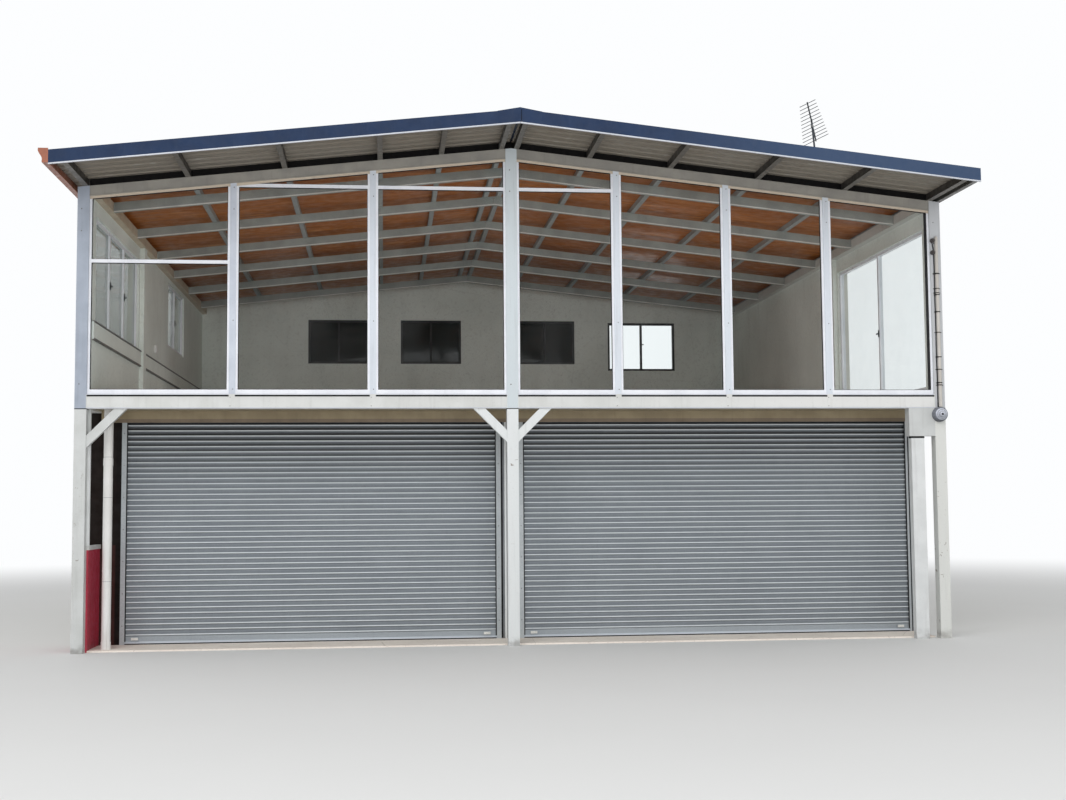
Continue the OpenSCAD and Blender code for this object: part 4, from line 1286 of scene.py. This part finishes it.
@dataclass
class Windows(Assembly):
    """The raked glazing of the front and the windows of the other sides."""

    bays: tuple[tuple[float, float, float | None], ...] = (
        (-5.12, -3.447, 4.675), (-3.373, -1.752, 5.63), (-1.678, -0.07, 5.63), (0.07, 1.288, 5.63),
        (1.362, 2.693, None), (2.767, 3.993, None), (4.067, 5.395, None),
    )
    stile: float = 0.028
    foot: float = 3.136
    nose_foot: float = 3.069
    bar_height: float = 0.042
    glass_drop: float = 0.2382
    glass_faces: tuple[float, float] = (-0.0265, -0.0135)
    gasket_width: float = 0.007
    gasket_half: float = 0.0025
    rear_marks: tuple[tuple[float, float, float], ...] = (
        (-2.462, 0.595, 4.53), (-0.652, 0.595, 4.53), (1.62, 0.595, 4.53), (3.57, 0.68, 4.4),
    )
    side_marks: tuple[tuple[float, float, float, float], ...] = (
        (-5.13, 1.0, 1.32, 4.6), (-5.13, 1.0, 2.32, 4.6), (-5.13, 1.0, 7.04, 4.85), (5.405, -1.0, 1.9, 4.1),
    )
    sill_height: float = 0.045
    band_edges: tuple[float, float] = (3.765, 3.978)
    pier_gaps: tuple[tuple[float, float], ...] = ((0.09, 3.425), (3.655, 10.5))

    def top(self, x: float) -> float:
        """Returns the height of the glass's raked top edge at x."""
        return roof_line(x, -self.glass_drop)

    def crossing(self, height: float, side: float) -> float:
        """Returns where the raked top edge comes down to a height, on the given side of the ridge."""
        return math.copysign((self.top(0.0) - height) / SLOPE, side)

    def panes(self) -> list[list[tuple[float, float]]]:
        """Works out the outline of each front pane, above and below its bar.

        Returns:
            The corners of each pane, as X and Z.
        """
        outlines: list[list[tuple[float, float]]] = []
        for left, right, bar in self.bays:
            low, high, foot = left + self.stile, right - self.stile, self.foot
            tops = [(high, self.top(high)), (low, self.top(low))]
            if bar is None:
                outlines.append([(low, foot), (high, foot), *tops])
                continue
            shortest, above = min(z for _, z in tops), bar + self.bar_height
            cut = [] if shortest > bar else [(self.crossing(bar, left), bar)]
            under = [(x, min(bar, z)) for x, z in tops]
            outlines.append([(low, foot), (high, foot), under[0], *cut, under[1]])
            if shortest > above:
                outlines.append([(low, above), (high, above), *tops])
            else:
                tall = high if left < 0.0 else low
                outlines.append([(self.crossing(above, left), above), (tall, above), (tall, self.top(tall))])
        return outlines

    def strip(self, mesh: Mesher, start: Vector, end: Vector, middle: Vector) -> None:
        """Adds one mitred side of a pane's gasket.

        Args:
            mesh: What gathers it.
            start: First corner of the pane's side.
            end: Second corner.
            middle: Middle of the pane.
        """
        along = (end - start).normalized()
        inward = along.cross(Vector((0.0, 1.0, 0.0)))
        if inward.dot(middle - start) < 0.0:
            inward.negate()
        thick = Vector((0.0, 2 * self.gasket_half, 0.0))
        rings = []
        for point, step in ((start, 1.0), (end, -1.0)):
            base = point - Vector((0.0, self.gasket_half, 0.0))
            deep = base + inward * self.gasket_width + along * self.gasket_width * step
            rings.append([base, deep, deep + thick, base + thick])
        mesh.rings(rings)

    def gaskets(self) -> None:
        """Runs a dark gasket round every front pane, outside and inside, and lays a wider dark strip beside
        the right post as painted shadow of the window frame.
        """
        gaskets = Mesher("glass_gaskets")
        for outline in self.panes():
            count = len(outline)
            middle = Vector((sum(x for x, _ in outline) / count, 0.0, sum(z for _, z in outline) / count))
            for y in self.glass_faces:
                corners = [Vector((x, y, z)) for x, z in outline]
                for start, end in zip(corners, corners[1:] + corners[:1]):
                    self.strip(gaskets, start, end, middle)
        # A wider dark strip beside the right post: painted shadow of the window frame.
        gaskets.bar((5.334, -0.040, self.foot), (5.3675, -0.0255, 5.42), 0.002)
        self.fix(gaskets, "rubber", "white_frame")

    def sills(self) -> None:
        """Adds the small nosing under each bottom rail, with a near-black strip below it as painted shadow
        under the nose.
        """
        noses, joints = Mesher("sill_noses"), Mesher("sill_shadow_strips")
        for left, right, _ in self.bays:
            noses.bar((left, -0.076, self.nose_foot), (right, -0.044, self.nose_foot + 0.014), 0.003)
            # Below each nose, a near-black strip: painted shadow.
            joints.bar((left, -0.0725, self.nose_foot - 0.019), (right, -0.069, self.nose_foot), 0.0005)
        self.fix(noses, "nosing", "white_frame")
        self.fix(joints, "shadow", "white_frame")

    def trunking(self) -> None:
        """Runs the dark trunking along both edges of the left wall's band, between the piers."""
        trunking = Mesher("wall_trunking")
        for z in self.band_edges:
            for low, high in self.pier_gaps:
                trunking.bar((-5.0995, low, z - 0.011), (-5.066, high, z + 0.011), 0.003)
        self.fix(trunking, "trunking", "upper_cladding")

    def outer_sills(self) -> None:
        """Sets a thin rendered sill under each side window and rear window, outside."""
        sills = Mesher("window_sills")
        for low, high, z in ((0.22, 3.38, 3.99), (6.075, 8.005, 4.37)):
            sills.bar((-5.3, low, z - self.sill_height), (-5.2, high, z), 0.006)
        sills.bar((5.475, 0.10, 3.156 - self.sill_height), (5.56, 3.64, 3.156), 0.006)
        for x, half, z in self.rear_marks:
            sills.bar((x - half - 0.04, 10.62, z - self.sill_height), (x + half + 0.04, 10.725, z), 0.006)
        self.fix(sills, "step", "upper_cladding")

    def catches(self) -> None:
        """Adds a catch to the meeting stile of each side window and rear window."""
        catches = Mesher("window_catches")
        for x, way, y, z in self.side_marks:
            low, high = sorted((x, x + way * 0.016))
            catches.bar((low, y - 0.012, z - 0.05), (high, y + 0.012, z + 0.05), 0.003)
            low, high = sorted((x + way * 0.016, x + way * 0.03))
            catches.bar((low, y - 0.008, z - 0.012), (high, y + 0.055, z + 0.008), 0.003)
        for x, _, _ in self.rear_marks:
            catches.bar((x - 0.012, 10.534, 4.88), (x + 0.012, 10.55, 4.98), 0.003)
            catches.bar((x - 0.008, 10.522, 4.92), (x + 0.05, 10.534, 4.94), 0.003)
        self.fix(catches, "dark_frame", "dark_frame", True)

    def build(self) -> None:
        """Dresses frames and glass."""
        self.gaskets()
        self.sills()
        self.trunking()
        self.outer_sills()
        self.catches()
        self.dress("white_frame", "glazing_frames", "side_window_frames")
        self.dress("dark_frame", "rear_window_frames")
        self.dress("glass", "front_glass")
        self.dress("dark_glass", "window_glass")


@dataclass
class Roof(Assembly):
    """Sheets, boards, ridge, fascias and gutters."""

    first_rib: float = -1.158
    rib_step: float = 0.2
    ribs: int = 61
    rib_top: float = 0.0322
    gutter_back: float = -5.332
    gutter_width: float = 0.112
    gutter_height: float = 0.165
    gutter_drop: float = 0.077
    gutter_front: float = -5.4456
    sheet_low: float = 0.003
    straps: int = 13
    first_strap: float = -0.8
    strap_step: float = 0.93
    sleeve_marks: tuple[float, ...] = (2.2, 6.6)
    fascia_fronts: tuple[float, float] = (-1.298, 10.9795)

    def screw_line(self, x: float) -> float:
        """Returns where the screws over a purlin stand, in from the eaves and clear of the ridge cap."""
        return x - math.copysign(0.05, x) if abs(x) > 5.0 else x * 2.4 if abs(x) < 0.13 else x

    def screws(self) -> None:
        """Sets a washered screw through every rib over every purlin."""
        screws = Mesher("roof_screws")
        profile = [(0.011, 0.0), (0.011, 0.004), (0.006, 0.0045), (0.006, 0.009)]
        for x in map(self.screw_line, PURLINS):
            for i in range(self.ribs):
                foot = (x, self.first_rib + i * self.rib_step, roof_line(x, self.rib_top) - 0.002)
                screws.turned(foot, Way.UP, profile, 6)
        self.fix(screws, "fastener", "roof_metal")

    def ogee(self) -> list[tuple[float, float]]:
        """Draws the left gutter's outline from its back foot to its front lip.

        Returns:
            Distance out and height of each point.
        """
        line = [(0.0, 0.0), (-self.gutter_width * 0.62, 0.0)]
        for i in range(9):
            t = i / 8
            out = self.gutter_width * (0.62 + 0.38 * t - 0.09 * math.sin(math.tau * t))
            line.append((-out, self.gutter_height * (0.1 + 0.9 * t)))
        return line

    def gutter_bits(self) -> None:
        """Adds the straps across the ogee gutter and the sleeves at its joints."""
        back, base = self.gutter_back, roof_line(self.gutter_back) - self.sheet_low - self.gutter_drop
        lip = base + self.gutter_height
        straps, sleeves = Mesher("gutter_straps"), Mesher("gutter_sleeves")
        for i in range(self.straps):
            y = self.first_strap + i * self.strap_step
            low = (back - self.gutter_width + 0.002, y, lip - 0.004)
            straps.bar(low, (back - 0.002, y + 0.025, lip + 0.001), 0.001)
        for y in self.sleeve_marks:
            rings = []
            for station in (y, y + 0.09):
                ring = []
                for out, rise in self.ogee():
                    x = back + out - (0.003 if out < -0.01 else 0.0)
                    ring.append(Vector((max(x, self.gutter_front), station, base + rise - 0.003)))
                for out, rise in reversed(self.ogee()):
                    x = back + out + (0.001 if out < -0.01 else 0.0)
                    ring.append(Vector((x, station, base + rise + 0.001)))
                rings.append(ring)
            sleeves.rings(rings)
        self.fix(straps, "brown", "brown_plastic")
        self.fix(sleeves, "brown", "brown_plastic")

    def seam(self) -> None:
        """Covers the joint of the front and rear fascias at the ridge."""
        seam, line = Mesher("fascia_seams"), Mesher("fascia_joint")
        for y in self.fascia_fronts:
            seam.bar((-0.014, y, RIDGE - 0.085), (0.012, y + 0.0025, RIDGE + 0.067), 0.0008)
        line.bar((0.0121, -1.2995, RIDGE - 0.084), (0.018, -1.2955, RIDGE + 0.0655), 0.0005)
        self.fix(seam, "navy", "navy_paint")
        self.fix(line, "shadow", "navy_paint")

    def build(self) -> None:
        """Dresses the roof."""
        self.screws()
        self.gutter_bits()
        self.seam()
        self.dress("boards", "ceiling_boards")
        self.dress("roof", "left_roof_sheet", "right_roof_sheet")
        self.dress("navy", "ridge_cap", "fascias")
        self.dress("trim", "fascia_trim")
        self.dress("brown", "left_gutter")
        self.dress("dark_gutter", "right_gutter")


@dataclass
class Services(Assembly):
    """Outlet, conduit, spools, meter and aerial."""

    wall_face: float = -5.1
    meter: Point = (5.45, -0.188, 2.822)
    cable_x: float = 5.437
    strap_marks: tuple[float, ...] = (3.22, 3.55, 4.13, 4.35, 4.62)
    mast_foot: Point = (4.62, 1.93, roof_line(4.56, 0.037))
    mast_lean: float = math.radians(5.0)
    clamp_marks: tuple[float, ...] = (0.06, 0.2, 1.28)

    def outlet(self) -> None:
        """Fixes a small outlet box on the left wall above the band."""
        box = Mesher("wall_outlet")
        lid, cover = self.wall_face + 0.038, self.wall_face + 0.042
        box.bar((self.wall_face, 4.72, 4.10), (lid, 4.80, 4.22), 0.004)
        box.bar((lid, 4.735, 4.115), (cover, 4.785, 4.205), 0.001)
        for z in (4.195, 4.125):
            box.screw((cover, 4.76, z), Way.RIGHT, 0.003, 0.0015)
        self.fix(box, "pipe", "white_trim")

    def cable(self) -> None:
        """Straps a thin dark cable beside the conduit, from the upper spool to the meter; the cable also
        stands in for the shadow line beside the conduit.
        """
        cable, x = Mesher("post_cable"), self.cable_x
        path = [(x - 0.022, -0.085, 5.055), (x - 0.012, -0.08, 5.0)]
        path += [(x + 0.002 * math.sin(i * 1.7), -0.0765, 4.92 - i * 0.205) for i in range(10)]
        cable.pipe([*path, (x, -0.08, 2.925), (x, -0.12, 2.905)], 0.006, 8)
        for z in self.strap_marks:
            cable.bar((x - 0.012, -0.1155, z), (x + 0.054, -0.0695, z + 0.012), 0.002)
        self.fix(cable, "rubber", "cream_plastic", True)

    def dial(self) -> None:
        """Adds the rim, the ring and the dark eye to the round meter's face."""
        x, nose, z = self.meter
        rim, eye = Mesher("meter_rings"), Mesher("meter_eye")
        for outer, inner, base, top in ((0.060, 0.054, -0.1632, -0.1675), (0.036, 0.031, -0.1832, -0.1878)):
            steps = [(outer, base), (outer, top), (inner, top - 0.0006), (inner, base)]
            rim.rings([
                [Vector((x + reach * math.cos(t), y, z + reach * math.sin(t))) for reach, y in steps]
                for t in (math.tau * i / 28 for i in range(28))
            ], True)
        profile = [(0.014, -0.001), (0.014, 0.003), (0.009, 0.005), (0.003, 0.005)]
        eye.turned((x + 0.002, nose, z), Way.FRONT, profile, 14)
        self.fix(rim, "aluminium", "grey_plastic", True)
        self.fix(eye, "rubber", "grey_plastic", True)

    def clamps(self) -> None:
        """Clamps the leaning mast near its foot and under the boom."""
        clamps = Mesher("mast_clamps")
        axis = Vector((-math.sin(self.mast_lean), 0.0, math.cos(self.mast_lean)))
        for along in self.clamp_marks:
            start = tuple(Vector(self.mast_foot) + axis * along)
            clamps.turned(start, axis, [(0.014, 0.0), (0.02, 0.002), (0.02, 0.03), (0.014, 0.032)], 12)
        self.fix(clamps, "fastener", "antenna_metal", True)

    def build(self) -> None:
        """Dresses the services."""
        self.outlet()
        self.cable()
        self.dial()
        self.clamps()
        self.dress("cream", "service_conduit")
        self.dress("glaze", "post_fittings")
        self.dress("meter", "round_meter")
        self.dress("mast", "roof_antenna")


@dataclass
class Viewpoint:
    """The camera, matched to the reference picture."""

    place: Point = (-1.5803, -17.426, 1.6867)
    yaw: float = 0.1052
    pitch: float = 0.0755
    roll: float = -0.0080
    lens: float = 47.82

    def build(self) -> None:
        """Makes the camera and gives it to the scene."""
        level = math.cos(self.pitch)
        ahead = Vector((math.sin(self.yaw) * level, math.cos(self.yaw) * level, math.sin(self.pitch)))
        across = Vector((math.cos(self.yaw), -math.sin(self.yaw), 0.0))
        above = across.cross(ahead)
        right = math.cos(self.roll) * across + math.sin(self.roll) * above
        up = -math.sin(self.roll) * across + math.cos(self.roll) * above
        data = bpy.data.cameras.new("viewpoint")
        data.lens = self.lens
        data.sensor_width = 36.0
        data.clip_end = 300.0
        camera = bpy.data.objects.new("viewpoint", data)
        turn = Matrix((right, up, -ahead)).transposed()
        camera.matrix_world = Matrix.Translation(Vector(self.place)) @ turn.to_4x4()
        bpy.context.scene.collection.objects.link(camera)
        bpy.context.scene.camera = camera
        log.info("camera placed")


@dataclass
class Studio:
    """A pale floor, a white surround and soft lamps."""

    reach: float = 120.0
    floor: Colour = (0.80, 0.80, 0.79)
    white: Colour = (0.98, 0.99, 1.0)
    middle: float = 4.8
    fade: tuple[float, float] = (11.0, 28.0)
    surround: float = 0.6
    key_power: float = 2000.0
    front_power: float = 2000.0
    room_power: float = 53.0

    def ground(self) -> None:
        """Lays the pale floor, which fades to white away from the building."""
        mesh = bpy.data.meshes.new("studio_floor")
        r = self.reach
        mesh.from_pydata([(-r, -r, 0.0), (r, -r, 0.0), (r, r, 0.0), (-r, r, 0.0)], [], [(0, 1, 2, 3)])
        floor = bpy.data.objects.new("studio_floor", mesh)
        bpy.context.scene.collection.objects.link(floor)
        s = Shading("studio_floor_coat")
        s.colour(s.mix(s.noise(0.5, 2.0), self.floor, tuple(0.97 * part for part in self.floor)))
        s.shader.inputs["Roughness"].default_value = 0.8
        bright = s.node("ShaderNodeEmission")
        bright.inputs[0].default_value = (*self.white, 1.0)
        join = s.node("ShaderNodeMixShader")
        back = s.math("SUBTRACT", s.y, self.middle)
        away = s.math("SQRT", s.math("ADD", s.times(s.x, s.x), s.times(back, back)))
        s.link(s.ramp(away, *self.fade), join.inputs[0])
        s.link(s.shader.outputs[0], join.inputs[1])
        s.link(bright.outputs[0], join.inputs[2])
        s.link(join.outputs[0], s.output.inputs["Surface"])
        mesh.materials.append(s.material)

    def sky(self) -> None:
        """Lights from all round, and shows white to the camera, in gloss and through glass."""
        world = bpy.data.worlds.new("studio_surround")
        bpy.context.scene.world = world
        world.use_nodes = True
        tree = world.node_tree
        tree.nodes.clear()
        path = tree.nodes.new("ShaderNodeLightPath")
        seen = path.outputs["Is Camera Ray"]
        for name in ("Is Glossy Ray", "Is Transmission Ray"):
            most = tree.nodes.new("ShaderNodeMath")
            most.operation = "MAXIMUM"
            tree.links.new(seen, most.inputs[0])
            tree.links.new(path.outputs[name], most.inputs[1])
            seen = most.outputs[0]
        level = tree.nodes.new("ShaderNodeMapRange")
        tree.links.new(seen, level.inputs[0])
        level.inputs[3].default_value = self.surround
        level.inputs[4].default_value = 1.0
        back = tree.nodes.new("ShaderNodeBackground")
        back.inputs[0].default_value = (*self.white, 1.0)
        tree.links.new(level.outputs[0], back.inputs[1])
        out = tree.nodes.new("ShaderNodeOutputWorld")
        tree.links.new(back.outputs[0], out.inputs[0])

    def lamp(
        self, name: str, place: Point, aim: Point, size: float, power: float, depth: float = 0.0
    ) -> None:
        """Hangs a soft lamp.

        Args:
            name: Name of the lamp.
            place: Where it hangs.
            aim: What it points at.
            size: Its width.
            power: Watts.
            depth: Its depth, if it isn't square.
        """
        data = bpy.data.lights.new(name, "AREA")
        data.shape = "RECTANGLE"
        data.size = size
        data.size_y = depth or size
        data.energy = power
        lamp = bpy.data.objects.new(name, data)
        lamp.location = place
        lamp.rotation_euler = (Vector(aim) - Vector(place)).to_track_quat("-Z", "Y").to_euler()
        lamp.visible_glossy = False
        lamp.visible_camera = False
        bpy.context.scene.collection.objects.link(lamp)

    def build(self) -> None:
        """Sets up floor, surround and lamps."""
        self.ground()
        self.sky()
        self.lamp("key_lamp", (-9.0, -18.0, 19.0), (0.0, 2.0, 3.0), 14.0, self.key_power)
        self.lamp("front_lamp", (3.0, -26.0, 5.0), (0.0, 4.0, 4.0), 16.0, self.front_power)
        self.lamp("room_lamp", (0.1, 3.2, 3.2), (0.1, 3.2, 6.0), 9.6, self.room_power, 5.6)
        bpy.context.scene.view_settings.view_transform = "Standard"


def corners(box: Sequence[Vector]) -> list[list[float]]:
    """Returns a box as plain lists of numbers."""
    return [[float(number) for number in corner] for corner in box]


def main() -> None:
    """Loads the frame, dresses it, and sets up the studio and the camera."""
    logging.basicConfig(level=logging.INFO, format="%(name)s %(message)s")
    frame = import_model()
    building = Building(frame["nodes"], Palette())
    for part in (SteelFrame, Shopfront, Masonry, Windows, Roof, Services):
        part(building).build()
    Viewpoint().build()
    Studio().build()


if __name__ == "__main__":
    main()
